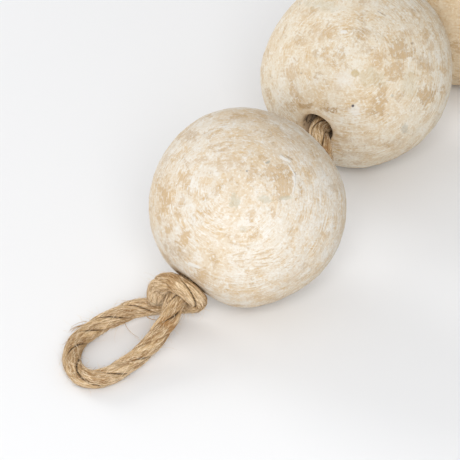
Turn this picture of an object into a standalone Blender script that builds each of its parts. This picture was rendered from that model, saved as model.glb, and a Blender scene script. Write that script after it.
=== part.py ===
"""Papier-mache ball garland: five balls threaded on one jute rope, which has a knotted loop at each end.

Sizes are in millimetres and degrees; millimetres become metres where an object is made.
+X runs along the garland and +Z is up. The origin lies on the surface, under the middle of the row of balls.
Headings are measured from +X, counter-clockwise seen from above.
"""

import math
import random
from collections import namedtuple

import bmesh
import bpy
from mathutils import Matrix, Vector

MM = 0.001
COLLECTION_NAME = "papier_mache_ball_garland"

# Balls, in order along the garland. A hole is the heading and the elevation of its middle, seen from
# the ball's own middle. The gap and the heading lead to the next ball. A knot lies against each end hole.
KNOT_HEADING = 165.0
KNOT_ELEVATION = -35.0
KNOT_HOLE = (KNOT_HEADING, KNOT_ELEVATION)
FAR_KNOT_HOLE = (KNOT_HEADING - 180.0, KNOT_ELEVATION)
Ball = namedtuple("Ball", "node radius gap_to_next heading_to_next first_hole last_hole")
BALLS = [
    Ball("ball_1", 50.0, 37.4, 6.0, KNOT_HOLE, (4.0, 0.0)),
    Ball("ball_2", 51.6, 0.5, -7.0, (185.5, -8.0), (-7.0, 0.0)),
    Ball("ball_3", 50.6, 0.5, -4.0, (173.0, 0.0), (-4.0, 0.0)),
    Ball("ball_4", 50.3, 0.5, 2.0, (176.0, 0.0), (2.0, 0.0)),
    Ball("ball_5", 50.0, 0.0, 0.0, (182.0, 0.0), FAR_KNOT_HOLE),
]
FLAT_SPOT_RADIUS = 7.0
FLOOR_BLOCK_SIDE = 4.0 * FLAT_SPOT_RADIUS
HOLE_RADIUS = 8.5
HOLE_SIDES = 24
BORE_OVERRUN = HOLE_RADIUS
BALL_SUBDIVISIONS = 4

# Lumps of the pressed paper: height of a wave, and its radians across the ball's radius
Lump = namedtuple("Lump", "height count")
LUMPS = [Lump(0.55, 2.6), Lump(0.4, 4.2), Lump(0.25, 6.5)]
WAVES_PER_LUMP = 3
LUMP_SEED = 11
# Lumps fade out within this angle of a hole or of the flat spot
LUMP_FADE_ANGLE = 32.0
# The end balls are pressed in under the knot, by this much, over this angle
KNOT_DENT = 2.8
KNOT_DENT_ANGLE = 45.0

# Rope of three strands, laid right-handed
ROPE_RADIUS = 4.7
ROPE_LAY = 44.0
STRANDS = 3
# Radius of the rope's section, as a share of the rope's, from a strand's crown round to the next crown
SECTION_SHARES = (1.0, 0.94, 0.76, 0.94)
# Length of the rope's faces where it shows, and inside a ball
SHOWN_STEP = 2.5
HIDDEN_STEP = 5.0
CLEARANCE = 0.3
TAIL_TAPER = 0.92
WELD_DISTANCE = 0.01

# Knot at an end ball. The rope's end winds round the rope itself, against the ball. Sideways is
# level and to the right, looking at the knot from outside; upwards is square to it.
KNOT_RADIUS = 9.9
KNOT_SIDEWAYS = -0.4
WRAP_STEP_ANGLE = 20.0
# The wrap from the tail to where the loop begins: angle round the knot, distance from the ball's middle
Turn = namedtuple("Turn", "angle reach")
WRAP_TURNS = [Turn(135.0, 56.9), Turn(92.0, 53.2), Turn(40.0, 52.2), Turn(-35.0, 52.2), Turn(-95.0, 57.0)]
# The tail, and the rope's own way through the wrap to the ball's hole: sideways, upwards, distance
# from the ball's middle
KnotStep = namedtuple("KnotStep", "sideways upwards reach")
TAIL_STEPS = [
    KnotStep(-5.0, 2.9, 66.4),
    KnotStep(-7.3, 3.1, 64.0),
    KnotStep(-8.8, 4.0, 61.5),
    KnotStep(-8.9, 5.4, 59.0),
]
CORE_STEPS = [KnotStep(3.8, 3.6, 61.5), KnotStep(-0.2, 0.4, 56.0), KnotStep(-0.4, 0.0, 51.0)]

# Loop, from the wrap round to the core: x and y from the end ball's middle, height above the surface
LOOP_POINTS = [
    (-43.2, 19.6, 7.5),
    (-48.4, 26.4, 7.3),
    (-55.6, 32.0, 7.4),
    (-64.2, 36.0, 7.2),
    (-72.2, 39.8, 6.3),
    (-81.5, 42.4, 5.3),
    (-91.0, 42.8, 4.8),
    (-101.2, 38.4, 4.8),
    (-108.7, 31.6, 4.8),
    (-111.6, 24.4, 4.8),
    (-110.0, 18.6, 4.8),
    (-105.0, 14.8, 4.8),
    (-97.4, 12.4, 5.0),
    (-91.2, 10.4, 6.0),
    (-82.4, 8.5, 7.8),
    (-74.2, 7.4, 10.0),
    (-66.8, 7.2, 12.5),
    (-59.6, 7.2, 15.0),
]
# Slack rope between the first two balls: x and y from the first ball's middle, height
SLACK_POINTS = [
    (54.0, 2.6, 44.0),
    (60.5, 0.4, 37.8),
    (69.0, -1.6, 34.0),
    (77.4, -0.8, 34.2),
    (82.6, 3.4, 39.2),
]
# The rope inside a ball's bore: share of the bore's length, lift above its lower side
BORE_STEPS = [(0.02, 0.3), (0.27, 0.9), (0.5, 1.1), (0.73, 0.9), (0.98, 0.3)]
# Points worked out along each stretch between two points of the route
CURVE_PIECES = 24

PAPER_COLOUR = (0.76, 0.66, 0.52, 1.0)
PAPER_ROUGHNESS = 0.9
JUTE_COLOUR = (0.50, 0.34, 0.17, 1.0)
JUTE_ROUGHNESS = 0.95


def direction(heading, elevation):
    """Unit vector for a heading and an elevation in degrees."""
    flat = math.cos(math.radians(elevation))
    return Vector((
        flat * math.cos(math.radians(heading)),
        flat * math.sin(math.radians(heading)),
        math.sin(math.radians(elevation)),
    ))


def clear_scene():
    """Remove every object, so that only the garland is left."""
    for old in list(bpy.data.objects):
        bpy.data.objects.remove(old, do_unlink=True)


def new_collection(name):
    """Add a collection to the scene."""
    collection = bpy.data.collections.new(name)
    bpy.context.scene.collection.children.link(collection)
    return collection


def move_to(piece, collection):
    """Put a new object in one collection only."""
    for home in list(piece.users_collection):
        home.objects.unlink(piece)
    collection.objects.link(piece)


def make_material(name, colour, roughness):
    """Principled material with a plain colour."""
    material = bpy.data.materials.new(name)
    material.use_nodes = True
    shader = material.node_tree.nodes["Principled BSDF"]
    shader.inputs["Base Color"].default_value = colour
    shader.inputs["Roughness"].default_value = roughness
    shader.inputs["Metallic"].default_value = 0.0
    return material


def ball_centres():
    """Middle of each ball, with the row's middle over the origin."""
    centres = []
    across = Vector((0.0, 0.0, 0.0))
    for index, ball in enumerate(BALLS):
        height = math.sqrt(ball.radius ** 2 - FLAT_SPOT_RADIUS ** 2)
        centres.append(Vector((across.x, across.y, height)))
        if index + 1 < len(BALLS):
            spacing = ball.radius + ball.gap_to_next + BALLS[index + 1].radius
            across = across + direction(ball.heading_to_next, 0.0) * spacing
    low_x = min(c.x - b.radius for c, b in zip(centres, BALLS))
    high_x = max(c.x + b.radius for c, b in zip(centres, BALLS))
    low_y = min(c.y - b.radius for c, b in zip(centres, BALLS))
    high_y = max(c.y + b.radius for c, b in zip(centres, BALLS))
    middle = Vector(((low_x + high_x) / 2.0, (low_y + high_y) / 2.0, 0.0))
    return [c - middle for c in centres]


def fade(cosine, angle):
    """Smooth step from 0 on a direction to 1 at an angle from it."""
    share = math.degrees(math.acos(max(-1.0, min(1.0, cosine)))) / angle
    share = min(1.0, share)
    return share * share * (3.0 - 2.0 * share)


def lump_waves(seed):
    """Seeded waves across the ball: height, wave vector and start."""
    chance = random.Random(seed)
    waves = []
    for lump in LUMPS:
        for _ in range(WAVES_PER_LUMP):
            across = Vector([chance.uniform(-1.0, 1.0) for _ in range(3)]).normalized()
            waves.append((lump.height, across * lump.count, chance.uniform(0.0, math.tau)))
    return waves


def is_knotted(hole):
    """Whether a knot lies against a hole, given as heading and elevation."""
    return hole in (KNOT_HOLE, FAR_KNOT_HOLE)


def shape_ball(mesh, ball, seed):
    """Press lumps, and the knot's dent where there is one, into a round ball's points."""
    waves = lump_waves(seed)
    holes = [direction(*hole) for hole in (ball.first_hole, ball.last_hole)]
    dents = [direction(*hole) for hole in (ball.first_hole, ball.last_hole) if is_knotted(hole)]
    for vertex in mesh.vertices:
        out = vertex.co.normalized()
        lumps = sum(height * math.sin(across.dot(out) + start) for height, across, start in waves)
        calm = fade(-out.z, LUMP_FADE_ANGLE)
        for hole in holes:
            calm *= fade(out.dot(hole), LUMP_FADE_ANGLE)
        radius = ball.radius + lumps * calm
        for dent in dents:
            radius -= KNOT_DENT * (1.0 - fade(out.dot(dent), KNOT_DENT_ANGLE))
        vertex.co = out * radius * MM


def add_cut(target, cutter, collection):
    """Cut a piece with a cutter, which stays in the cutters' collection."""
    move_to(cutter, collection)
    cutter.hide_render = True
    cutter.display_type = "WIRE"
    cut = target.modifiers.new("Cut", "BOOLEAN")
    cut.operation = "DIFFERENCE"
    cut.solver = "EXACT"
    cut.object = cutter


def hole_ends(ball, centre):
    """Middle of each hole of a ball, on its surface."""
    first = centre + direction(*ball.first_hole) * ball.radius
    last = centre + direction(*ball.last_hole) * ball.radius
    return first, last


def make_bore(ball, centre):
    """Round cutter that runs straight from one hole of a ball to the other."""
    first, last = hole_ends(ball, centre)
    along = last - first
    bpy.ops.mesh.primitive_cylinder_add(
        vertices=HOLE_SIDES,
        radius=HOLE_RADIUS * MM,
        depth=(along.length + 2.0 * BORE_OVERRUN) * MM,
    )
    bore = bpy.context.object
    bore.name = ball.node + "_bore"
    turn = along.to_track_quat("Z", "Y").to_matrix().to_4x4()
    bore.data.transform(Matrix.Translation((first + last) / 2.0 * MM) @ turn)
    return bore


def make_floor_block(ball, centre):
    """Block that cuts the flat spot on which a ball rests."""
    bpy.ops.mesh.primitive_cube_add(size=FLOOR_BLOCK_SIDE * MM)
    block = bpy.context.object
    block.name = ball.node + "_floor"
    block.data.transform(Matrix.Translation(Vector((centre.x, centre.y, -FLOOR_BLOCK_SIDE / 2.0)) * MM))
    return block


def make_ball(ball, centre, seed, material, parts, cutters):
    """One lumpy ball with its bore and its flat spot."""
    bpy.ops.mesh.primitive_ico_sphere_add(subdivisions=BALL_SUBDIVISIONS, radius=ball.radius * MM)
    piece = bpy.context.object
    piece.name = ball.node
    move_to(piece, parts)
    shape_ball(piece.data, ball, seed)
    piece.data.transform(Matrix.Translation(centre * MM))
    piece.data.materials.append(material)
    piece.data.shade_smooth()
    add_cut(piece, make_floor_block(ball, centre), cutters)
    add_cut(piece, make_bore(ball, centre), cutters)


def knot_frame():
    """Knot's axis out of the ball, its level side direction and its upward one."""
    axis = direction(KNOT_HEADING, KNOT_ELEVATION)
    side = direction(KNOT_HEADING + 90.0, 0.0)
    return axis, side, axis.cross(side)


def wrap_points():
    """The rope's way round the knot, from the tail to the start of the loop, seen from the ball's middle."""
    axis, side, up = knot_frame()
    middle = side * KNOT_SIDEWAYS
    points = []
    for start, stop in zip(WRAP_TURNS, WRAP_TURNS[1:]):
        steps = round(abs(stop.angle - start.angle) / WRAP_STEP_ANGLE)
        for step in range(steps):
            share = step / steps
            angle = math.radians(start.angle + (stop.angle - start.angle) * share)
            reach = start.reach + (stop.reach - start.reach) * share
            across = side * math.cos(angle) + up * math.sin(angle)
            points.append(axis * reach + middle + across * KNOT_RADIUS)
    return points


def knot_points(steps):
    """Points of the tail or the core, seen from the ball's middle."""
    axis, side, up = knot_frame()
    return [axis * step.reach + side * step.sideways + up * step.upwards for step in steps]


def end_points(centre):
    """Whole route of the first end, from the tail in the knot to the first ball's hole."""
    loop = [Vector((centre.x + x, centre.y + y, height)) for x, y, height in LOOP_POINTS]
    knot = [centre + point for point in knot_points(TAIL_STEPS) + wrap_points()]
    core = [centre + point for point in knot_points(CORE_STEPS)]
    return knot + loop + core


def through_ball(ball, centre):
    """Route along the lower side of a ball's bore, and through the middle of a hole that has a knot."""
    first, last = hole_ends(ball, centre)
    along = (last - first).normalized()
    level = along.cross(Vector((0.0, 0.0, 1.0))).normalized()
    down = along.cross(level).normalized()
    drop = HOLE_RADIUS * math.cos(math.pi / HOLE_SIDES) - ROPE_RADIUS - CLEARANCE
    route = []
    for share, lift in BORE_STEPS:
        seated = 1.0
        if is_knotted(ball.first_hole):
            seated = share
        elif is_knotted(ball.last_hole):
            seated = 1.0 - share
        route.append(first.lerp(last, share) + down * (drop - lift) * seated)
    return route


def rope_route(centres):
    """Points that the whole rope follows, from the tail at one end to the tail at the other."""
    first_end = end_points(centres[0])
    route = list(first_end)
    for index, (ball, centre) in enumerate(zip(BALLS, centres)):
        inside = through_ball(ball, centre)
        if index == 0:
            slack = [Vector((centre.x + x, centre.y + y, height)) for x, y, height in SLACK_POINTS]
            route += inside[1:] + slack
        elif index + 1 == len(BALLS):
            route += inside[:-1]
        else:
            route += inside
    for point in reversed(first_end):
        away = point - centres[0]
        route.append(Vector((centres[-1].x - away.x, centres[-1].y - away.y, point.z)))
    return route


def blend(near, far, low, high, at):
    """Point between two points, by where a value lies between two others."""
    return near * ((high - at) / (high - low)) + far * ((at - low) / (high - low))


def smooth_point(before, start, stop, after, share):
    """Point on the smooth curve between the middle two of four points of a route."""
    first = 0.0
    second = first + math.sqrt((start - before).length)
    third = second + math.sqrt((stop - start).length)
    fourth = third + math.sqrt((after - stop).length)
    at = second + (third - second) * share
    one = blend(before, start, first, second, at)
    two = blend(start, stop, second, third, at)
    three = blend(stop, after, third, fourth, at)
    return blend(blend(one, two, first, third, at), blend(two, three, second, fourth, at), second, third, at)


def smooth_route(route):
    """Close points along the smooth curve through a route."""
    padded = [route[0] * 2.0 - route[1]] + route + [route[-1] * 2.0 - route[-2]]
    points = []
    for index in range(1, len(padded) - 2):
        for piece in range(CURVE_PIECES):
            points.append(smooth_point(*padded[index - 1:index + 3], piece / CURVE_PIECES))
    points.append(route[-1])
    return points


def rope_line(centres):
    """Points of the rope at even steps, with the length run to each; steps are longer inside a ball."""
    close = smooth_route(rope_route(centres))
    line = [(close[0], 0.0)]
    run = 0.0
    due = SHOWN_STEP
    for near, far in zip(close, close[1:]):
        length = (far - near).length
        while run + length >= due:
            point = near.lerp(far, (due - run) / length)
            line.append((point, due))
            depth = max(ball.radius - (point - centre).length for ball, centre in zip(BALLS, centres))
            due += HIDDEN_STEP if depth > 2.0 * ROPE_RADIUS else SHOWN_STEP
        run += length
    return line


def make_section():
    """Closed outline of the three-strand rope, for the rope's bevel."""
    data = bpy.data.curves.new("rope_section", "CURVE")
    data.dimensions = "2D"
    outline = data.splines.new("POLY")
    count = STRANDS * len(SECTION_SHARES)
    outline.points.add(count - 1)
    for index, point in enumerate(outline.points):
        turn = math.tau * index / count
        radius = ROPE_RADIUS * SECTION_SHARES[index % len(SECTION_SHARES)] * MM
        point.co = (radius * math.cos(turn), radius * math.sin(turn), 0.0, 1.0)
    outline.use_cyclic_u = True
    section = bpy.data.objects.new("rope_section", data)
    section.hide_render = True
    section.display_type = "WIRE"
    return section


def weld_caps(mesh):
    """Join the loose caps of a tube to its walls and turn every face outwards."""
    work = bmesh.new()
    work.from_mesh(mesh)
    bmesh.ops.remove_doubles(work, verts=work.verts, dist=WELD_DISTANCE * MM)
    bmesh.ops.recalc_face_normals(work, faces=work.faces)
    work.to_mesh(mesh)
    work.free()


def make_rope(centres, material, parts, cutters):
    """The whole rope as one twisted body, from one knot through all the balls to the other."""
    section = make_section()
    cutters.objects.link(section)
    data = bpy.data.curves.new("rope", "CURVE")
    data.dimensions = "3D"
    data.bevel_mode = "OBJECT"
    data.bevel_object = section
    data.use_fill_caps = True
    steps = rope_line(centres)
    line = data.splines.new("POLY")
    line.points.add(len(steps) - 1)
    for target, (point, run) in zip(line.points, steps):
        target.co = (point.x * MM, point.y * MM, point.z * MM, 1.0)
        target.tilt = math.tau * run / ROPE_LAY
    line.points[0].radius = TAIL_TAPER
    line.points[-1].radius = TAIL_TAPER
    curve = bpy.data.objects.new("rope_curve", data)
    parts.objects.link(curve)
    shape = curve.evaluated_get(bpy.context.evaluated_depsgraph_get())
    mesh = bpy.data.meshes.new_from_object(shape)
    rope = bpy.data.objects.new("rope", mesh)
    rope.matrix_world = curve.matrix_world
    parts.objects.link(rope)
    bpy.data.objects.remove(curve, do_unlink=True)
    weld_caps(mesh)
    mesh.materials.clear()
    mesh.materials.append(material)
    mesh.shade_smooth()


def main():
    """Build the garland."""
    clear_scene()
    parts = new_collection(COLLECTION_NAME)
    cutters = new_collection("cutters")
    paper = make_material("papier_mache", PAPER_COLOUR, PAPER_ROUGHNESS)
    jute = make_material("jute", JUTE_COLOUR, JUTE_ROUGHNESS)
    centres = ball_centres()
    for index, (ball, centre) in enumerate(zip(BALLS, centres)):
        make_ball(ball, centre, LUMP_SEED + index, paper, parts, cutters)
    make_rope(centres, jute, parts, cutters)


main()
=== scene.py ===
"""Looks of the papier-mache ball garland: whitewashed paper balls on a hairy three-strand jute rope.

Sizes and places are in millimetres and degrees; MM turns them into metres where a mesh is made.
The shapes repeat the frame's own: the same balls, bores and rope route, with finer surfaces.
"""

import logging
import math
import random
from dataclasses import dataclass, field
from enum import Enum

import bpy
import numpy as np
from mathutils import Matrix, Vector


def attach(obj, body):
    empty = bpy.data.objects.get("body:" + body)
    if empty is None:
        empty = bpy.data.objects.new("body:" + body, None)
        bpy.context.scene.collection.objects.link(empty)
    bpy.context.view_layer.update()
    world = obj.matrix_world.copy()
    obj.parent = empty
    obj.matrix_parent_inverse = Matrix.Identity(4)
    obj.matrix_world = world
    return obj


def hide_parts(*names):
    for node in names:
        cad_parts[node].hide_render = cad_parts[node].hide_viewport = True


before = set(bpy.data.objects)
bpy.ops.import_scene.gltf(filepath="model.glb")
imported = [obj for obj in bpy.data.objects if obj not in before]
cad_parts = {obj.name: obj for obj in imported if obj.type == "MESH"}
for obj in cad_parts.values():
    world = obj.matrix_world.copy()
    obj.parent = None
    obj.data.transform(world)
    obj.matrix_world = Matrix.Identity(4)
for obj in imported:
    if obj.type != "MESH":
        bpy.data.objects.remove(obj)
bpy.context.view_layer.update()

MM = 0.001
BODY = "root"

log = logging.getLogger("garland")

Colour = tuple[float, float, float, float]
Point = tuple[float, float, float]
Piece = bpy.types.Object
Node = bpy.types.Node
Socket = bpy.types.NodeSocket


class HoleKind(Enum):
    """What stands at a ball's hole."""

    OPEN = "open"
    KNOTTED = "knotted"


class Streaks(Enum):
    """How long a stroke runs round a ball, and how many lie side by side: both per radian."""

    BROAD = (2.2, 26.0)
    FINE = (4.5, 80.0)

    def inputs(self) -> dict[str, float]:
        """What the strokes' node group takes; the start keeps the kinds apart."""
        along, across = self.value
        return {"Along": along, "Across": across, "Start": across / 7.0}


class Tone(Enum):
    """Colours of the whitewash, of what it covers and of what has stained it, of the jute, and of the painted
    shade in the bores and between the rope's strands.
    """

    CREAM = (0.700, 0.634, 0.535, 1.0)
    CHALK = (0.765, 0.736, 0.682, 1.0)
    WARM = (0.635, 0.485, 0.305, 1.0)
    TAN = (0.555, 0.400, 0.235, 1.0)
    DEEP = (0.455, 0.310, 0.165, 1.0)
    BROWN = (0.250, 0.165, 0.095, 1.0)
    HUSK = (0.520, 0.390, 0.255, 1.0)
    OLIVE = (0.480, 0.455, 0.350, 1.0)
    SAND = (0.560, 0.480, 0.330, 1.0)
    HONEY = (0.530, 0.410, 0.220, 1.0)
    GOLD = (0.580, 0.400, 0.205, 1.0)
    GREY = (0.440, 0.410, 0.340, 1.0)
    INK = (0.120, 0.110, 0.120, 1.0)
    # Painted shade: the near-black spots inside the mouths of the bores.
    GRIME = (0.070, 0.052, 0.034, 1.0)
    RUST = (0.420, 0.210, 0.070, 1.0)
    # A paler straw, laid over the knot and the near leg.
    FADED = (0.900, 0.730, 0.510, 1.0)
    # A darker jute brown; on the loop's left bend it is painted shade.
    AGED = (0.360, 0.205, 0.085, 1.0)
    STRAW = (0.685, 0.478, 0.262, 1.0)
    PALE = (0.930, 0.780, 0.565, 1.0)
    BARK = (0.300, 0.165, 0.066, 1.0)
    # Painted shade: the near-black colour in the valleys between the rope's strands.
    GAP = (0.075, 0.045, 0.024, 1.0)


@dataclass(frozen=True)
class Layer:
    """A colour that shows where a value passes from a low mark to a high one, up to a top share.

    It can keep within a mask, and a worn layer follows the wear. Without a tone it has the dab's colour.
    """

    source: str
    low: float
    high: float
    top: float = 1.0
    tone: Tone | None = None
    within: str = ""
    worn: bool = False


def direction(heading: float, elevation: float) -> Vector:
    """Unit vector for a heading and an elevation.

    Args:
        heading: degrees from +X, counter-clockwise seen from above.
        elevation: degrees above the level.

    Returns:
        The unit vector.
    """
    turn, rise = math.radians(heading), math.radians(elevation)
    return Vector((math.cos(rise) * math.cos(turn), math.cos(rise) * math.sin(turn), math.sin(rise)))


@dataclass(frozen=True)
class Hole:
    """Where a hole's middle is, seen from the ball's own middle."""

    heading: float
    elevation: float
    kind: HoleKind = HoleKind.OPEN

    def toward(self) -> Vector:
        """Unit vector from the ball's middle to the hole's."""
        return direction(self.heading, self.elevation)


@dataclass(frozen=True)
class BallSize:
    """One ball of the garland and the way to the next one."""

    node: str
    radius: float
    gap_to_next: float
    heading_to_next: float
    first_hole: Hole
    last_hole: Hole

    def bore(self, centre: Vector) -> list[Vector]:
        """Middles of the first and the last hole, for a ball with its middle at a point."""
        return [centre + hole.toward() * self.radius for hole in (self.first_hole, self.last_hole)]


UP = Vector((0.0, 0.0, 1.0))
KNOT_HEADING = 165.0
KNOT_HOLE = Hole(KNOT_HEADING, -35.0, HoleKind.KNOTTED)
FAR_KNOT_HOLE = Hole(KNOT_HEADING - 180.0, -35.0, HoleKind.KNOTTED)
BALLS = (
    BallSize("ball_1", 50.0, 37.4, 6.0, KNOT_HOLE, Hole(4.0, 0.0)),
    BallSize("ball_2", 51.6, 0.5, -7.0, Hole(185.5, -8.0), Hole(-7.0, 0.0)),
    BallSize("ball_3", 50.6, 0.5, -4.0, Hole(173.0, 0.0), Hole(-4.0, 0.0)),
    BallSize("ball_4", 50.3, 0.5, 2.0, Hole(176.0, 0.0), Hole(2.0, 0.0)),
    BallSize("ball_5", 50.0, 0.0, 0.0, Hole(182.0, 0.0), FAR_KNOT_HOLE),
)
FLAT_SPOT_RADIUS = 7.0
HOLE_RADIUS = 8.5
HOLE_SIDES = 24
ROPE_RADIUS = 4.7
ROPE_LAY = 44.0
STRANDS = 3
YARNS = 18
CLEARANCE = 0.3
NODE_SPACING = (220.0, -260.0)
NODES_IN_ROW = 12
STROKE_NOISE = (1.0, 3.0, 0.6, 0.35)


def ball_centres() -> list[Vector]:
    """Middle of each ball, with the row's middle over the origin.

    Returns:
        One point per ball, in order.
    """
    centres = []
    across = Vector((0.0, 0.0, 0.0))
    for index, ball in enumerate(BALLS):
        height = math.sqrt(ball.radius ** 2 - FLAT_SPOT_RADIUS ** 2)
        centres.append(Vector((across.x, across.y, height)))
        if index + 1 < len(BALLS):
            spacing = ball.radius + ball.gap_to_next + BALLS[index + 1].radius
            across = across + direction(ball.heading_to_next, 0.0) * spacing
    low = [min(c[axis] - b.radius for c, b in zip(centres, BALLS)) for axis in (0, 1)]
    high = [max(c[axis] + b.radius for c, b in zip(centres, BALLS)) for axis in (0, 1)]
    middle = Vector(((low[0] + high[0]) / 2.0, (low[1] + high[1]) / 2.0, 0.0))
    return [c - middle for c in centres]


CENTRES = ball_centres()


def smooth(share: np.ndarray) -> np.ndarray:
    """Smooth step of a share from 0 to 1."""
    return share * share * (3.0 - 2.0 * share)


def fade(cosine: np.ndarray, angle: float) -> np.ndarray:
    """Smooth step from 0 on a direction to 1 at an angle from it, by the cosine of each point's angle."""
    return smooth(np.clip(np.degrees(np.arccos(np.clip(cosine, -1.0, 1.0))) / angle, 0.0, 1.0))


def deselect_all() -> None:
    """Leave no object selected, so that an operator acts on the new piece alone."""
    bpy.ops.object.select_all(action="DESELECT")


def make_active(piece: Piece) -> None:
    """Select one object alone and make it active.

    Args:
        piece: the object.
    """
    deselect_all()
    piece.select_set(True)
    bpy.context.view_layer.objects.active = piece


def settle(piece: Piece) -> None:
    """Bring an object's place, turn and scale into its mesh."""
    make_active(piece)
    bpy.ops.object.transform_apply(location=True, rotation=True, scale=True)


def apply_modifier(piece: Piece, name: str) -> None:
    """Apply one modifier of a piece for good."""
    make_active(piece)
    bpy.ops.object.modifier_apply(modifier=name)


class Graph:
    """Adds nodes to a material or a node group with few words, and lays colours over one another."""

    def __init__(self, tree: bpy.types.NodeTree) -> None:
        """Start with no colour and no values yet.

        Args:
            tree: the nodes to add to.
        """
        self.tree = tree
        self.count = 0
        self.colour: object = None
        self.values: dict[str, Socket] = {}

    def add(self, kind: str, inputs: dict | None = None, **settings: object) -> Node:
        """Add a shader node, set it up and wire it.

        Args:
            kind: the node's type, without the words that all the types start with.
            inputs: what goes into each socket: another node's socket or a plain value.
            settings: the node's own properties.

        Returns:
            The new node.
        """
        node = self.tree.nodes.new("ShaderNode" + kind)
        row, place = divmod(self.count, NODES_IN_ROW)
        node.location = (NODE_SPACING[0] * place, NODE_SPACING[1] * row)
        self.count += 1
        for name, value in settings.items():
            setattr(node, name, value)
        for socket, value in (inputs or {}).items():
            self.feed(node.inputs[socket], value)
        return node

    def feed(self, socket: Socket, value: object) -> None:
        """Wire a socket to another one, or set it to a plain value.

        Args:
            socket: the socket.
            value: the other socket or the value.
        """
        if isinstance(value, Socket):
            self.tree.links.new(value, socket)
        else:
            socket.default_value = value

    def math(self, operation: str, *values: object) -> Socket:
        """One step of arithmetic."""
        return self.add("Math", dict(enumerate(values)), operation=operation).outputs[0]

    def vector(self, operation: str, *values: object) -> Socket:
        """One step of vector arithmetic."""
        return self.add("VectorMath", dict(enumerate(values)), operation=operation).outputs[0]

    def length(self, place: object) -> Socket:
        """A vector's length."""
        return self.add("VectorMath", {0: place}, operation="LENGTH").outputs["Value"]

    def scaled(self, place: object, factor: object) -> Socket:
        """A vector times a number."""
        return self.add("VectorMath", {0: place, "Scale": factor}, operation="SCALE").outputs[0]

    def mapped(self, place: object, **settings: object) -> Socket:
        """A vector turned or stretched by a Mapping node."""
        inputs = {"Vector": place} | {name.title(): value for name, value in settings.items()}
        return self.add("Mapping", inputs).outputs[0]

    def piece_place(self) -> Socket:
        """Place on the piece, in millimetres."""
        return self.scaled(self.add("TexCoord").outputs["Object"], 1.0 / MM)

    def stored(self, name: str) -> Node:
        """A value or vector stored with the mesh."""
        return self.add("Attribute", attribute_name=name)

    def step(self, value: object, low: object, high: object, top: float = 1.0) -> Socket:
        """Smooth step from 0 at a low value to a top at a high one."""
        inputs = {"Value": value, "From Min": low, "From Max": high, "To Min": 0.0, "To Max": top}
        return self.add("MapRange", inputs, interpolation_type="SMOOTHSTEP").outputs[0]

    def noise(
        self, place: object, size: float, detail: float, rough: float = 0.55, bend: float = 0.0,
    ) -> Socket:
        """Cloudy noise from 0 to 1, with features of a size, finer layers and a bend."""
        inputs = {"Vector": place, "Scale": 1.0 / size, "Detail": detail, "Roughness": rough}
        return self.add("TexNoise", inputs | {"Distortion": bend}).outputs["Fac"]

    def lay(self, mask: object, colour: object) -> None:
        """Lay a colour over those below, as far as a mask lets it show."""
        inputs = {"Factor": mask, 6: self.colour, 7: colour}
        self.colour = self.add("Mix", inputs, data_type="RGBA").outputs[2]

    def lay_all(self, layers: tuple[Layer, ...], wear: float = 1.0, dab: Colour | None = None) -> None:
        """Lay colours over one another, each where its value passes its marks.

        Args:
            layers: the layers, the lowest first.
            wear: how strong the worn layers are.
            dab: the colour of the layers without a tone.
        """
        for layer in layers:
            top = layer.top * (wear if layer.worn else 1.0)
            mask = self.step(self.values[layer.source], layer.low, layer.high, top)
            if layer.within:
                mask = self.math("MULTIPLY", mask, self.values[layer.within])
            self.lay(mask, layer.tone.value if layer.tone else dab)

    def add_masks(self, masks: dict[str, tuple[str, float, float]]) -> None:
        """Make masks from values, each from its value's name and its low and high marks."""
        for name, (source, low, high) in masks.items():
            self.values[name] = self.step(self.values[source], low, high)

    def add_up(self, parts: dict[str, float]) -> Socket:
        """Add values up to a relief.

        Args:
            parts: how high each value stands, by its name.

        Returns:
            The relief.
        """
        relief = 0.0
        for name, height in parts.items():
            relief = self.math("MULTIPLY_ADD", self.values[name], height, relief)
        return relief

    def dress(self, shader: Node, relief: Socket, strength: float, height: float) -> None:
        """Wire the colour and the relief to a shader.

        Args:
            shader: the material's shader.
            relief: the relief.
            strength: how strongly it shows.
            height: its height in millimetres.
        """
        bump = self.add("Bump", {"Strength": strength, "Distance": height * MM, "Height": relief})
        self.feed(shader.inputs["Base Color"], self.colour)
        self.feed(shader.inputs["Normal"], bump.outputs[0])

    def group(self, name: str, inputs: dict) -> Socket:
        """Place a shared node group; returns its one result."""
        return self.add("Group", inputs, node_tree=bpy.data.node_groups[name]).outputs[0]


def new_group(name: str, vectors: str, numbers: str) -> tuple[Graph, dict[str, Socket], Socket]:
    """Start a shader node group that puts out one number.

    Args:
        name: the group's name.
        vectors: names of its vector inputs.
        numbers: names of its number inputs.

    Returns:
        The group's graph, the socket of each input by name, and the socket of its result.
    """
    tree = bpy.data.node_groups.new(name, "ShaderNodeTree")
    for kind, labels in (("NodeSocketVector", vectors), ("NodeSocketFloat", numbers)):
        for label in labels.split():
            tree.interface.new_socket(label, in_out="INPUT", socket_type=kind)
    tree.interface.new_socket("Value", in_out="OUTPUT", socket_type="NodeSocketFloat")
    inner = {socket.name: socket for socket in tree.nodes.new("NodeGroupInput").outputs}
    return Graph(tree), inner, tree.nodes.new("NodeGroupOutput").inputs[0]


def build_strokes() -> None:
    """Shared effect: brush strokes that run round a ball's pole, for colour and relief."""
    graph, inner, result = new_group("brush_strokes", "Place", "Along Across Start")
    parts = graph.add("SeparateXYZ", {0: graph.vector("NORMALIZE", inner["Place"])}).outputs
    level = graph.add("CombineXYZ", {"X": parts["X"], "Y": parts["Y"]})
    stretched = graph.scaled(graph.vector("NORMALIZE", level.outputs[0]), inner["Along"])
    polar = graph.math("ARCCOSINE", parts["Z"])
    crossing = graph.math("MULTIPLY_ADD", polar, inner["Across"], inner["Start"])
    lift = graph.add("CombineXYZ", {"Z": crossing})
    graph.feed(result, graph.noise(graph.vector("ADD", stretched, lift.outputs[0]), *STROKE_NOISE))


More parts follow.
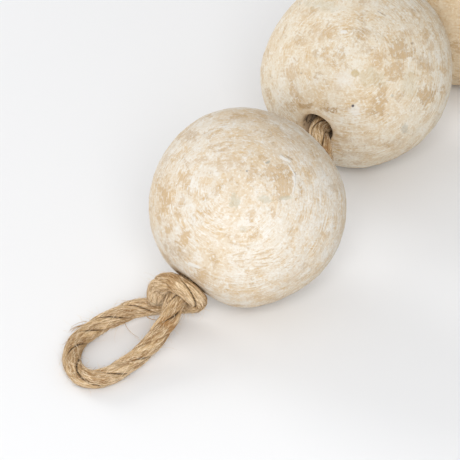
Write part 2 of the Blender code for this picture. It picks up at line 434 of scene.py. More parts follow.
def build_stain_or_painted_light() -> None:
    """Shared effect: the mask of a ragged patch round a place."""
    graph, inner, result = new_group("stain_or_painted_light", "Place Middle Turn Size", "Wobble Ragged Inner Outer")
    turned = graph.mapped(graph.vector("SUBTRACT", inner["Place"], inner["Middle"]), rotation=inner["Turn"])
    reach = graph.length(graph.vector("DIVIDE", turned, inner["Size"]))
    edge = graph.math("MULTIPLY_ADD", inner["Wobble"], inner["Ragged"], reach)
    graph.feed(result, graph.step(edge, inner["Outer"], inner["Inner"]))


def build_from_line() -> None:
    """Shared effect: how far a place lies from a straight line, for the paint round a bore."""
    graph, inner, result = new_group("from_line", "Place Point Along", "")
    away = graph.vector("SUBTRACT", inner["Place"], inner["Point"])
    graph.feed(result, graph.length(graph.vector("CROSS_PRODUCT", away, inner["Along"])))


def matt_material(name: str, roughness: float, specular: float) -> tuple[bpy.types.Material, Graph, Node]:
    """Start a matt material.

    Args:
        name: the material's name.
        roughness: how rough it is.
        specular: how strongly it shines.

    Returns:
        The material, its graph and its shader.
    """
    material = bpy.data.materials.new(name)
    material.use_nodes = True
    shader = material.node_tree.nodes["Principled BSDF"]
    shader.inputs["Roughness"].default_value = roughness
    shader.inputs["Specular IOR Level"].default_value = specular
    return material, Graph(material.node_tree), shader


@dataclass(frozen=True)
class Patch:
    """A coloured patch on the rope, at a place in the row frame: rust, paler straw, darker jute or painted
    shade.
    """

    middle: Point
    size: Point
    tone: Tone
    strength: float
    ragged: float = 0.9
    inner: float = 0.6
    outer: float = 1.15


@dataclass(frozen=True)
class StainOrPaintedLight:
    """A blotch, chip or bare spot on a ball, or a painted highlight, shadow line or band of shade, placed in
    millimetres as its front direction sees it.

    The middle is given to the right of and above the ball's middle, the turn is counter-clockwise,
    and relief is how far the spot stands out.
    """

    across: float
    lift: float
    half_width: float
    half_height: float
    tone: Tone
    strength: float
    turn: float = 0.0
    ragged: float = 1.2
    soft: float = 0.4
    relief: float = 0.0
    lined: bool = False

    @property
    def worn(self) -> bool:
        """Whether its tone is that of bare paper, so that it shows only where the wash is rubbed."""
        return self.tone in (Tone.TAN, Tone.DEEP, Tone.WARM)


@dataclass(frozen=True)
class Whitewash:
    """Matt whitewash, brushed over brown paper and worn through in blotches."""

    roughness: float = 0.88
    specular: float = 0.22
    wear: float = 1.0
    paint: Colour = Tone.CREAM.value
    dab: Colour = Tone.CHALK.value
    bump: float = 0.7
    bump_height: float = 0.5


# Each noise's size, its finer layers, their strength and its bend.
PAPER_NOISE = {
    "cloud": (27.0, 2.0, 0.5),
    "mottle": (7.5, 8.0, 0.62, 0.5),
    "chips": (12.0, 9.0, 0.64, 0.9),
    "patchy": (15.0, 2.0),
    "grain": (1.25, 3.0, 0.62),
    "ragged": (3.2, 5.0, 0.64),
    "crumbs": (2.3, 6.0, 0.72, 0.4),
    # The next noise mottles the painted shade inside the bores' mouths.
    "rim_shade_noise": (4.5, 5.0, 0.7),
}
# Each mask's value, and the marks between which it rises from 0 to 1.
PAPER_MASKS = {
    "bare": ("flaked", 0.645, 0.69),
    "brushed": ("patchy", 0.38, 0.60),
    "chosen": ("drawn", 0.60, 0.65),
    "front_side": ("depth", -4.0, 3.0),
    "crumbled": ("crumbs", 0.84, 0.73),
    # The next mask breaks the painted shade in the bores' mouths into spots.
    "rim_shade_spots": ("rim_shade_noise", 0.50, 0.58),
}
PAPER_RELIEF = {"broad": 0.45, "fine": 0.5, "grain": 0.6, "bare": -0.3}
WASH_LAYERS = (
    Layer("cloud", 0.42, 0.68, 0.48, Tone.WARM),
    Layer("mottle", 0.50, 0.62, 0.68, Tone.WARM, worn=True),
    Layer("mottle", 0.47, 0.36, 0.60),
    Layer("flaked", 0.645, 0.69, 0.62, Tone.TAN, worn=True),
    Layer("flaked", 0.71, 0.76, 0.40, Tone.DEEP, worn=True),
    Layer("fine", 0.54, 0.66, 0.90, within="brushed"),
    Layer("fine", 0.46, 0.34, 0.75, Tone.GOLD, within="brushed", worn=True),
    Layer("across", 0.58, 0.70, 0.60),
    Layer("grain", 0.47, 0.30, 0.52, Tone.GOLD),
    Layer("grain", 0.53, 0.68, 0.80),
    Layer("speck", 0.055, 0.030, 0.45, Tone.BROWN, within="chosen"),
)
BORE_LAYERS = (
    Layer("bore", HOLE_RADIUS + 5.0, HOLE_RADIUS + 1.2, 0.5, Tone.TAN),
    Layer("bore", HOLE_RADIUS + 1.3, HOLE_RADIUS + 0.2, 1.0, Tone.HUSK),
    # Painted shade: near-black spots just inside each bore's mouth.
    Layer("bore", HOLE_RADIUS + 1.0, HOLE_RADIUS - 0.4, 0.85, Tone.GRIME, within="rim_shade_spots"),
)


@dataclass
class Coat:
    """One ball's whitewash as nodes, laid on layer by layer."""

    ball: BallSize
    centre: Vector
    front: tuple[float, float]
    wash: Whitewash
    stains_and_painted_light: tuple[StainOrPaintedLight, ...]
    brush_middle: Point = (-7.0, 9.0, 0.0)
    cross_turn: Point = (math.pi / 2.0, 0.0, 0.6)
    flake_drag: float = 0.16
    crumb_drag: float = 0.45
    edge_wobble: float = 3.0
    speck_spacing: float = 9.0
    line_stretch: Point = (11.0, 0.8, 4.0)
    line_noise: Point = (1.0, 3.0, 0.6)
    line_marks: tuple[float, float] = (0.54, 0.64)
    stain_and_painted_light_relief: float = 2.0
    stain_and_painted_light_depth: float = 1.0e4
    graph: Graph = field(init=False)
    world: Socket = field(init=False)
    faced: Socket = field(init=False)

    def material(self) -> bpy.types.Material:
        """Make the ball's material.

        Returns:
            The material.
        """
        wash = self.wash
        material, graph, shader = matt_material("whitewash_" + self.ball.node, wash.roughness, wash.specular)
        self.graph = graph
        self.world = graph.piece_place()
        place = graph.vector("SUBTRACT", self.world, tuple(self.centre))
        self.faced = graph.mapped(place, rotation=tuple(front_turn(*self.front).to_euler()))
        self.read_values()
        graph.colour = wash.paint
        graph.lay_all(WASH_LAYERS, wash.wear, wash.dab)
        relief = self.lay_stains_and_painted_light(graph.add_up(PAPER_RELIEF))
        graph.lay_all(BORE_LAYERS)
        graph.dress(shader, relief, wash.bump, wash.bump_height)
        return material

    def read_values(self) -> None:
        """Read the noises, strokes and masks that the layers follow."""
        graph, values = self.graph, self.graph.values
        for name, noise in PAPER_NOISE.items():
            values[name] = graph.noise(self.world, *noise)
        brushed = graph.vector("SUBTRACT", self.faced, self.brush_middle)
        values["broad"], values["fine"] = (self.strokes(streaks, brushed) for streaks in Streaks)
        values["across"] = self.strokes(Streaks.FINE, graph.mapped(self.faced, rotation=self.cross_turn))
        values["flaked"] = graph.math("MULTIPLY_ADD", values["broad"], self.flake_drag, values["chips"])
        values["crumbs"] = graph.math("MULTIPLY_ADD", values["fine"], self.crumb_drag, values["crumbs"])
        wobble = graph.math("MULTIPLY_ADD", values["ragged"], self.edge_wobble, -self.edge_wobble / 2.0)
        specks = graph.add("TexVoronoi", {"Vector": self.world, "Scale": 1.0 / self.speck_spacing}).outputs
        values["speck"] = specks["Distance"]
        values["drawn"] = graph.add("SeparateColor", {0: specks["Color"]}).outputs[0]
        values["depth"] = graph.add("SeparateXYZ", {0: self.faced}).outputs["Z"]
        first, last = self.ball.bore(self.centre)
        inputs = {"Place": self.world, "Point": tuple(first), "Along": tuple((last - first).normalized())}
        values["bore"] = graph.math("ADD", wobble, graph.group("from_line", inputs))
        values["wobble"] = wobble
        graph.add_masks(PAPER_MASKS)
        values["rubbed"] = graph.math("MULTIPLY", values["crumbled"], values["front_side"])

    def strokes(self, streaks: Streaks, place: Socket) -> Socket:
        """Brush strokes round a pole along Z."""
        return self.graph.group("brush_strokes", {"Place": place} | streaks.inputs())

    def lay_stains_and_painted_light(self, relief: Socket) -> Socket:
        """Lay the blotches, chips and bare spots, and the painted highlights and shade, that only this ball
        has, on its front side.

        Args:
            relief: the relief of the wash.

        Returns:
            The relief with the marks' own.
        """
        graph = self.graph
        for stain_or_painted_light in self.stains_and_painted_light:
            shown = graph.values["rubbed" if stain_or_painted_light.worn else "front_side"]
            mask = graph.math("MULTIPLY", self.stain_or_painted_light_mask(stain_or_painted_light), shown)
            graph.lay(graph.math("MULTIPLY", mask, stain_or_painted_light.strength), stain_or_painted_light.tone.value)
            if stain_or_painted_light.relief:
                relief = graph.math("MULTIPLY_ADD", mask, self.stain_and_painted_light_relief * stain_or_painted_light.relief, relief)
        return relief

    def stain_or_painted_light_mask(self, stain_or_painted_light: StainOrPaintedLight) -> Socket:
        """Mask of one mark: a blotch, chip, bare spot or painted light.

        Args:
            stain_or_painted_light: the mark.

        Returns:
            The mask, from 0 to 1.
        """
        graph, turn = self.graph, math.radians(stain_or_painted_light.turn)
        mask = graph.group("stain_or_painted_light", {
            "Place": self.faced,
            "Middle": (stain_or_painted_light.across, stain_or_painted_light.lift, 0.0),
            "Turn": (0.0, 0.0, -turn),
            "Size": (stain_or_painted_light.half_width, stain_or_painted_light.half_height, self.stain_and_painted_light_depth),
            "Wobble": graph.values["wobble"],
            "Ragged": stain_or_painted_light.ragged,
            "Inner": 1.0 - stain_or_painted_light.soft,
            "Outer": 1.0 + stain_or_painted_light.soft,
        })
        if not stain_or_painted_light.lined:
            return mask
        lines = {"Vector": self.faced, "Rotation": (0.0, 0.0, turn), "Scale": self.line_stretch}
        drawn = graph.noise(graph.add("Mapping", lines, vector_type="TEXTURE").outputs[0], *self.line_noise)
        return graph.math("MULTIPLY", mask, graph.step(drawn, *self.line_marks))


def front_turn(heading: float, elevation: float) -> Matrix:
    """Turn that brings a direction to +Z, with what lies to its right to +X and what is above it to +Y.

    Args:
        heading: the direction's heading.
        elevation: its elevation.

    Returns:
        The turn, as a matrix.
    """
    front = direction(heading, elevation)
    right = (-front).cross(UP).normalized()
    return Matrix((right, front.cross(right), front))


@dataclass
class PaperBall:
    """One papier-mache ball: pressed lumps, a bore with soft lips, a flat spot and a brushed surface."""

    size: BallSize
    centre: Vector
    seed: int
    front: tuple[float, float]
    wash: Whitewash
    stains_and_painted_light: tuple[StainOrPaintedLight, ...] = ()
    subdivisions: int = 7
    waves: tuple[tuple[float, float], ...] = ((0.55, 2.6), (0.4, 4.2), (0.25, 6.5))
    waves_per_lump: int = 3
    lump_fade_angle: float = 32.0
    knot_dent: float = 2.8
    knot_dent_angle: float = 45.0
    reliefs: tuple[tuple[str, str, float, float], ...] = (
        ("scraps", "VORONOI", 17.0, 0.4), ("dabs", "CLOUDS", 7.0, 0.7), ("crumbs", "CLOUDS", 2.4, 0.3),
    )
    cutter_sides: int = 72
    lip_depth: float = 3.2
    lip_flare: float = 1.1
    lip_steps: int = 5

    def build(self) -> Piece:
        """Model and dress the ball.

        Returns:
            The finished piece.
        """
        deselect_all()
        bpy.ops.mesh.primitive_ico_sphere_add(subdivisions=self.subdivisions, radius=self.size.radius * MM)
        ball = bpy.context.object
        ball.name = "paper_" + self.size.node
        self.press_lumps(ball)
        ball.location = self.centre * MM
        settle(ball)
        self.add_relief(ball)
        self.cut_bore(ball)
        self.flatten_foot(ball)
        make_active(ball)
        bpy.ops.object.shade_smooth()
        ball.data.materials.clear()
        coat = Coat(self.size, self.centre, self.front, self.wash, self.stains_and_painted_light)
        ball.data.materials.append(coat.material())
        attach(ball, BODY)
        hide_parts(self.size.node)
        return ball

    def press_lumps(self, ball: Piece) -> None:
        """Press the lumps, and the knot's dent where there is one, into the round ball.

        Args:
            ball: the ball, still round its own origin.
        """
        chance = random.Random(self.seed)
        out = read_points(ball)
        out /= np.linalg.norm(out, axis=1)[:, None]
        lumps = 0.0
        for height, count in self.waves:
            for _ in range(self.waves_per_lump):
                across = Vector([chance.uniform(-1.0, 1.0) for _ in range(3)]).normalized()
                start = chance.uniform(0.0, math.tau)
                lumps = lumps + height * np.sin(out @ (np.array(across) * count) + start)
        calm = fade(-out[:, 2], self.lump_fade_angle)
        radius = np.full(len(out), self.size.radius)
        for hole in (self.size.first_hole, self.size.last_hole):
            cosine = out @ np.array(hole.toward())
            calm = calm * fade(cosine, self.lump_fade_angle)
            if hole.kind is HoleKind.KNOTTED:
                radius -= self.knot_dent * (1.0 - fade(cosine, self.knot_dent_angle))
        write_points(ball, out * (radius + lumps * calm)[:, None])

    def add_relief(self, ball: Piece) -> None:
        """Raise the torn paper's edges and the thick paint from the surface.

        Args:
            ball: the lumpy ball, at its place.
        """
        for name, kind, size, height in self.reliefs:
            texture = bpy.data.textures.new(name + "_" + self.size.node, kind)
            texture.noise_scale = size * MM
            if kind == "VORONOI":
                texture.weight_1 = -1.0
                texture.weight_2 = 1.0
            relief = ball.modifiers.new(name, "DISPLACE")
            relief.texture = texture
            relief.texture_coords = "LOCAL"
            relief.mid_level = 0.5
            relief.strength = height * MM
            apply_modifier(ball, relief.name)

    def cut_bore(self, ball: Piece) -> None:
        """Cut the bore, with lips that round over at the surface.

        Args:
            ball: the ball in relief.
        """
        cutter = self.make_cutter()
        cut = ball.modifiers.new("bore", "BOOLEAN")
        cut.operation = "DIFFERENCE"
        cut.solver = "EXACT"
        cut.object = cutter
        apply_modifier(ball, cut.name)
        bpy.data.objects.remove(cutter, do_unlink=True)

    def make_cutter(self) -> Piece:
        """Draw out the bore's cutter ring by ring, wider at both mouths.

        Returns:
            The cutter.
        """
        first, last = self.size.bore(self.centre)
        along = (last - first).normalized()
        length = (last - first).length
        shares = [step / self.lip_steps for step in range(self.lip_steps, -1, -1)]
        profile = [(-HOLE_RADIUS, HOLE_RADIUS + (self.lip_flare + HOLE_RADIUS))]
        profile += [(self.lip_depth * (1.0 - s), HOLE_RADIUS + self.lip_flare * s * s) for s in shares]
        profile += [(length - depth, radius) for depth, radius in profile[::-1]]
        deselect_all()
        bpy.ops.mesh.primitive_circle_add(
            vertices=self.cutter_sides,
            radius=profile[0][1] * MM,
            fill_type="NGON",
            location=(first + along * profile[0][0]) * MM,
            rotation=along.to_track_quat("Z", "Y").to_euler(),
        )
        cutter = bpy.context.object
        settle(cutter)
        bpy.ops.object.mode_set(mode="EDIT")
        bpy.ops.mesh.select_all(action="SELECT")
        for (depth, radius), (next_depth, next_radius) in zip(profile, profile[1:]):
            move = {"value": along * (next_depth - depth) * MM}
            bpy.ops.mesh.extrude_region_move(TRANSFORM_OT_translate=move)
            middle = (first + along * next_depth) * MM
            bpy.ops.transform.resize(value=(next_radius / radius,) * 3, center_override=middle)
        bpy.ops.mesh.select_all(action="SELECT")
        bpy.ops.mesh.normals_make_consistent(inside=False)
        bpy.ops.object.mode_set(mode="OBJECT")
        return cutter

    def flatten_foot(self, ball: Piece) -> None:
        """Cut the ball level where it rests.

        Args:
            ball: the ball with its bore.
        """
        make_active(ball)
        bpy.ops.object.mode_set(mode="EDIT")
        bpy.ops.mesh.select_all(action="SELECT")
        floor = {"plane_co": (0.0, 0.0, 0.0), "plane_no": tuple(UP), "threshold": 1e-6}
        bpy.ops.mesh.bisect(clear_inner=True, use_fill=True, **floor)
        bpy.ops.mesh.select_all(action="DESELECT")
        bpy.ops.object.mode_set(mode="OBJECT")


def read_points(piece: Piece) -> np.ndarray:
    """Read a mesh's points.

    Args:
        piece: the mesh's object.

    Returns:
        The points in millimetres.
    """
    flat = np.empty(len(piece.data.vertices) * 3, dtype=np.float32)
    piece.data.vertices.foreach_get("co", flat)
    return flat.reshape(-1, 3).astype(float) / MM


def write_points(piece: Piece, points: np.ndarray) -> None:
    """Put a mesh's points in their new places, given in millimetres."""
    piece.data.vertices.foreach_set("co", (points * MM).astype(np.float32).ravel())
    piece.data.update()


@dataclass
class RopeRoute:
    """The rope's middle line from the tail in one knot to the tail in the other, as in the frame."""

    knot_radius: float = 9.9
    knot_sideways: float = -0.4
    wrap_step_angle: float = 20.0
    wrap_turns: tuple[tuple[float, float], ...] = (
        (135.0, 56.9), (92.0, 53.2), (40.0, 52.2), (-35.0, 52.2), (-95.0, 57.0),
    )
    tail_steps: tuple[Point, ...] = (
        (-5.0, 2.9, 66.4), (-7.3, 3.1, 64.0), (-8.8, 4.0, 61.5), (-8.9, 5.4, 59.0),
    )
    core_steps: tuple[Point, ...] = ((3.8, 3.6, 61.5), (-0.2, 0.4, 56.0), (-0.4, 0.0, 51.0))
    loop_points: tuple[Point, ...] = (
        (-43.2, 19.6, 7.5), (-48.4, 26.4, 7.3), (-55.6, 32.0, 7.4), (-64.2, 36.0, 7.2), (-72.2, 39.8, 6.3),
        (-81.5, 42.4, 5.3), (-91.0, 42.8, 4.8), (-101.2, 38.4, 4.8), (-108.7, 31.6, 4.8), (-111.6, 24.4, 4.8),
        (-110.0, 18.6, 4.8), (-105.0, 14.8, 4.8), (-97.4, 12.4, 5.0), (-91.2, 10.4, 6.0), (-82.4, 8.5, 7.8),
        (-74.2, 7.4, 10.0), (-66.8, 7.2, 12.5), (-59.6, 7.2, 15.0),
    )
    slack_points: tuple[Point, ...] = (
        (54.0, 2.6, 44.0), (60.5, 0.4, 37.8), (69.0, -1.6, 34.0), (77.4, -0.8, 34.2), (82.6, 3.4, 39.2),
    )
    bore_steps: tuple[tuple[float, float], ...] = (
        (0.02, 0.3), (0.27, 0.9), (0.5, 1.1), (0.73, 0.9), (0.98, 0.3),
    )
    curve_pieces: int = 24

    def points(self) -> list[Vector]:
        """The route's own points.

        Returns:
            The points in order, from one tail to the other.
        """
        near, far = CENTRES[0], CENTRES[-1]
        first_end = self.end_points(near)
        inside = [self.through_ball(ball, centre) for ball, centre in zip(BALLS, CENTRES)]
        route = first_end + inside[0][1:]
        route += [Vector((near.x + x, near.y + y, height)) for x, y, height in self.slack_points]
        for points in inside[1:]:
            route += points
        last_end = [Vector((far.x - (p.x - near.x), far.y - (p.y - near.y), p.z)) for p in first_end[::-1]]
        return route[:-1] + last_end

    def end_points(self, centre: Vector) -> list[Vector]:
        """The first end's route: the wrap of the knot, the loop, and the way into the hole.

        Args:
            centre: middle of the end ball.

        Returns:
            The points in order.
        """
        axis = KNOT_HOLE.toward()
        side = direction(KNOT_HEADING + 90.0, 0.0)
        up = axis.cross(side)
        points, core = (
            [centre + axis * reach + side * over + up * lift for over, lift, reach in steps]
            for steps in (self.tail_steps, self.core_steps)
        )
        for (angle, reach), (next_angle, next_reach) in zip(self.wrap_turns, self.wrap_turns[1:]):
            steps = round(abs(next_angle - angle) / self.wrap_step_angle)
            for share in (step / steps for step in range(steps)):
                turn = math.radians(angle + (next_angle - angle) * share)
                across = side * math.cos(turn) + up * math.sin(turn)
                out = axis * (reach + (next_reach - reach) * share)
                points.append(centre + out + side * self.knot_sideways + across * self.knot_radius)
        points += [Vector((centre.x + x, centre.y + y, height)) for x, y, height in self.loop_points]
        return points + core

    def through_ball(self, ball: BallSize, centre: Vector) -> list[Vector]:
        """The route along the lower side of a bore, and through the middle of a hole that has a knot.

        Args:
            ball: the ball's sizes.
            centre: its middle.

        Returns:
            The points in order.
        """
        first, last = ball.bore(centre)
        along = (last - first).normalized()
        down = along.cross(along.cross(UP).normalized()).normalized()
        drop = HOLE_RADIUS * math.cos(math.pi / HOLE_SIDES) - ROPE_RADIUS - CLEARANCE
        route = []
        for share, lift in self.bore_steps:
            seated = 1.0
            if ball.first_hole.kind is HoleKind.KNOTTED:
                seated = share
            elif ball.last_hole.kind is HoleKind.KNOTTED:
                seated = 1.0 - share
            route.append(first.lerp(last, share) + down * (drop - lift) * seated)
        return route

    def smoothed(self) -> np.ndarray:
        """Close points along the smooth curve through the route's points.

        Returns:
            An array of points.
        """
        route = self.points()
        padded = [route[0] * 2.0 - route[1]] + route + [route[-1] * 2.0 - route[-2]]
        line = []
        for index in range(1, len(padded) - 2):
            around = [np.array(point) for point in padded[index - 1:index + 3]]
            times = [0.0]
            for near, far in zip(around, around[1:]):
                times.append(times[-1] + math.sqrt(np.linalg.norm(far - near)))
            for piece in range(self.curve_pieces):
                at = times[1] + (times[2] - times[1]) * piece / self.curve_pieces
                line.append(smooth_point(around, times, at))
        line.append(np.array(route[-1]))
        return np.array(line)


def smooth_point(around: list[np.ndarray], times: list[float], at: float) -> np.ndarray:
    """Point on the smooth curve between the middle two of four points.

    Args:
        around: the four points.
        times: when the curve passes each of them.
        at: when the wanted point is passed.

    Returns:
        The point.
    """
    level = list(around)
    for span in (1, 2):
        level = [blend(level[k], level[k + 1], times[k], times[k + span], at) for k in range(len(level) - 1)]
    return blend(level[0], level[1], times[1], times[2], at)


def blend(near: np.ndarray, far: np.ndarray, low: float, high: float, at: float) -> np.ndarray:
    """Point between two points, by where a value lies between two others."""
    return (near * (high - at) + far * (at - low)) / (high - low)


@dataclass
class RopeLine:
    """The rope's middle line at even steps, with a frame that turns as little as it can."""

    points: np.ndarray
    run: np.ndarray
    tangent: np.ndarray
    first: np.ndarray
    second: np.ndarray

    @classmethod
    def along(cls, close: np.ndarray, step: float) -> "RopeLine":
        """Read the line at even steps.

        Args:
            close: close points along the route.
            step: length from one point to the next.

        Returns:
            The line.
        """
        lengths = np.r_[0.0, np.cumsum(np.linalg.norm(np.diff(close, axis=0), axis=1))]
        run = np.linspace(0.0, lengths[-1], int(lengths[-1] / step) + 1)
        points = np.stack([np.interp(run, lengths, close[:, axis]) for axis in range(3)], axis=1)
        tangent = np.gradient(points, axis=0)
        tangent /= np.linalg.norm(tangent, axis=1)[:, None]
        first = np.zeros_like(points)
        across = np.cross(tangent[0], tuple(UP))
        for index, ahead in enumerate(tangent):
            across = across - ahead * (across @ ahead)
            across = across / np.linalg.norm(across)
            first[index] = across
        return cls(points, run, tangent, first, np.cross(tangent, first))


# Each noise's stretch along the rope, then the same as for the paper's.
LAID_NOISE = {
    "fibre": ((0.13, 1.0, 1.0), 0.5, 5.0, 0.76, 0.6),
    "tuft": ((0.13, 1.0, 1.0), 2.1, 3.0, 0.6, 0.4),
    "drift": ((0.09, 0.3, 0.3), 1.0, 2.0),
}
JUTE_MASKS = {"raised": ("fibre", 0.36, 0.56), "calm": ("tuft", 0.62, 0.42)}
JUTE_RELIEF = {"fibre": 1.0, "tuft": 0.7, "wave": 0.22}
JUTE_LAYERS = (
    Layer("tuft", 0.36, 0.62, 1.0, Tone.STRAW),
    Layer("fibre", 0.50, 0.60, 0.95, Tone.PALE),
    Layer("fibre", 0.46, 0.36, 0.95, Tone.BARK),
    # Painted shade: the troughs of the yarn wave, the fine grooves between yarns, darkened where the tufts
    # are calm.
    Layer("wave", -0.72, -1.0, 0.6, Tone.BARK, within="calm"),
    Layer("cloud", 0.50, 0.70, 0.35, Tone.BARK),
)
# Painted shade: the valleys between the strands darkened, bark brown and then near black.
VALLEY_SHADE_LAYERS = (Layer("valley_shade", 0.18, 0.48, 0.55, Tone.BARK), Layer("valley_shade", 0.38, 0.68, 0.94, Tone.GAP))
FIBRE_LAYERS = (Layer("tone", 0.0, 0.45, 1.0, Tone.STRAW), Layer("tone", 0.45, 1.0, 1.0, Tone.PALE))


@dataclass(frozen=True)
class Jute:
    """Raw jute: straw to brown fibres, with painted shade in the valleys between the strands and in the
    grooves between the yarns.
    """

    base: Tone = Tone.BARK
    roughness: float = 0.85
    specular: float = 0.2
    bump_height: float = 0.55
    cloud: tuple[float, float] = (9.0, 3.0)
    edge_noise: tuple[float, float, float] = (2.6, 4.0, 0.65)
    yarn_drift: float = 9.0
    # How much the fibres fray the edge of the valleys' painted shade.
    valley_shade_fray: float = 0.7

    def rope_material(self, stains_and_painted_light: tuple[Patch, ...]) -> bpy.types.Material:
        """Make the material of the rope itself.

        Args:
            stains_and_painted_light: rust, paler patches and painted shade, at their places.

        Returns:
            The material.
        """
        material, graph, shader = matt_material("jute_rope", self.roughness, self.specular)
        values, world = graph.values, graph.piece_place()
        laid = graph.stored("laid").outputs["Vector"]
        for name, (stretch, *noise) in LAID_NOISE.items():
            values[name] = graph.noise(graph.mapped(laid, scale=stretch), *noise)
        values["cloud"] = graph.noise(world, *self.cloud)
        around = graph.add("SeparateXYZ", {0: laid}).outputs
        turned = graph.math("MULTIPLY", graph.math("ARCTAN2", around["Z"], around["Y"]), float(YARNS))
        swung = graph.math("MULTIPLY_ADD", values["drift"], self.yarn_drift, turned)
        values["wave"] = graph.math("SINE", swung)
        frayed = graph.math("SUBTRACT", values["fibre"], 0.5)
        valley = graph.stored("valley").outputs["Fac"]
        # Where the valleys' painted shade lies, frayed by the fibres.
        values["valley_shade"] = graph.math("MULTIPLY_ADD", frayed, self.valley_shade_fray, valley)
        graph.add_masks(JUTE_MASKS)
        graph.colour = self.base.value
        graph.lay_all(JUTE_LAYERS)
        wobble = graph.math("SUBTRACT", graph.noise(world, *self.edge_noise), 0.5)
        for stain_or_painted_light in stains_and_painted_light:
            mask = graph.group("stain_or_painted_light", {
                "Place": world, "Middle": stain_or_painted_light.middle, "Size": stain_or_painted_light.size, "Wobble": wobble,
                "Ragged": stain_or_painted_light.ragged, "Inner": stain_or_painted_light.inner, "Outer": stain_or_painted_light.outer,
            })
            mask = graph.math("MULTIPLY", mask, values["raised"])
            graph.lay(graph.math("MULTIPLY", mask, stain_or_painted_light.strength), stain_or_painted_light.tone.value)
        # Painted shade in the valleys between the strands, laid over the rest.
        graph.lay_all(VALLEY_SHADE_LAYERS)
        graph.dress(shader, graph.add_up(JUTE_RELIEF), 1.0, self.bump_height)
        return material

    def fibre_material(self) -> bpy.types.Material:
        """Make the material of the single fibres, each with its own tone.

        Returns:
            The material.
        """
        material, graph, shader = matt_material("jute_fibres", self.roughness, self.specular)
        graph.values["tone"] = graph.stored("tone").outputs["Fac"]
        graph.colour = self.base.value
        graph.lay_all(FIBRE_LAYERS)
        graph.feed(shader.inputs["Base Color"], graph.colour)
        return material


@dataclass
class RopeSkin:
    """The rope's surface: strands that wind round its line, with valleys and yarns between them."""

    line: RopeLine
    seed: int
    drift_size: float = 30.0
    strand_sizes: Point = (11.0, 7.0, 9.0)
    thickness_size: float = 12.0
    wander_size: float = 24.0
    turn_drift: float = 0.22
    strand_swell: float = 0.05
    valley_depth: tuple[float, float] = (0.185, 0.095)
    valley_width: tuple[float, float] = (9.5, 2.5)
    shallow: float = 0.07
    yarn_wander: float = 1.6
    yarn_ridge: float = 0.022
    crown_fall: float = 0.045
    end_length: float = 3.6
    blunt_end: float = 0.04
    ridge_middle: float = 0.6
    depth_range: float = 0.15
    valley_power: float = 1.6
    uneven_thickness: float = 0.03
    swollen: tuple[Point, ...] = ((5.0, 11.0, 0.13), (220.0, 9.0, 0.12), (377.0, 9.0, 0.2))
    turn: np.ndarray = field(init=False)
    swell: np.ndarray = field(init=False)
    depth: np.ndarray = field(init=False)
    width: np.ndarray = field(init=False)
    ends: np.ndarray = field(init=False)
    wander: np.ndarray = field(init=False)

    def __post_init__(self) -> None:
        """Wind the strands round the line, and draw their uneven places in a fixed order."""
        chance = np.random.default_rng(self.seed)
        run = self.line.run
        self.turn = math.tau * run / ROPE_LAY + self.turn_drift * slow_noise(chance, run, self.drift_size)
        self.swell, depth, width = (
            np.array([slow_noise(chance, run, size) for _ in range(STRANDS)]) for size in self.strand_sizes
        )
        self.swell *= self.strand_swell
        self.depth = self.valley_depth[0] + self.valley_depth[1] * depth
        self.width = self.valley_width[0] + self.valley_width[1] * width
        to_end = np.clip(np.minimum(run, run[-1] - run) / self.end_length, 0.0, 1.0)
        self.ends = np.sqrt(np.clip(1.0 - (1.0 - to_end) ** 2, self.blunt_end, 1.0))
        self.ends *= 1.0 + self.uneven_thickness * slow_noise(chance, run, self.thickness_size)
        self.wander = self.yarn_wander * slow_noise(chance, run, self.wander_size)
        for place, reach, share in self.swollen:
            for away in (run - place, run[-1] - run - place):
                self.ends *= 1.0 + share * np.exp(-(away / reach) ** 2)

    def at(self, run: np.ndarray, angle: np.ndarray) -> tuple[np.ndarray, np.ndarray]:
        """How far the surface stands from the line.

        Args:
            run: length run along the line at each place.
            angle: angle round the line at each place.

        Returns:
            The distance, and how deep and narrow the valley is there, from 0 to 1.
        """
        index = np.clip(np.rint(run / self.line.run[1]).astype(int), 0, len(self.line.run) - 1)
        phase = (angle - self.turn[index]) * STRANDS / math.tau
        strand = np.rint(phase).astype(int)
        local = (phase - strand) * 360.0 / STRANDS
        edge = 180.0 / STRANDS
        beside = np.where(local > 0.0, strand, strand - 1) % STRANDS
        swollen = 1.0 + self.swell[strand % STRANDS, index] * np.cos(np.radians(local * 90.0 / edge))
        crown = (1.0 - self.crown_fall * (local / edge) ** 2) * swollen
        dip = np.exp(-((edge - np.abs(local)) / self.width[beside, index]) ** 2)
        ridge = np.abs(np.sin(angle * YARNS / 2.0 + self.wander[index])) - self.ridge_middle
        depth = self.depth[beside, index]
        share = crown - depth * dip + self.yarn_ridge * ridge
        valley = dip ** self.valley_power * np.clip((depth - self.shallow) / self.depth_range, 0.0, 1.0)
        return ROPE_RADIUS * share * self.ends[index], valley


def slow_noise(chance: np.random.Generator, run: np.ndarray, size: float) -> np.ndarray:
    """Smooth random values from about -1 to 1 along a line.

    Args:
        chance: the seeded source.
        run: length run at each point.
        size: length over which the value changes.

    Returns:
        One value per point.
    """
    knots = chance.uniform(-1.0, 1.0, int(run[-1] / size) + 3)
    low = (run / size).astype(int)
    share = smooth(run / size - low)
    return knots[low] * (1.0 - share) + knots[low + 1] * share


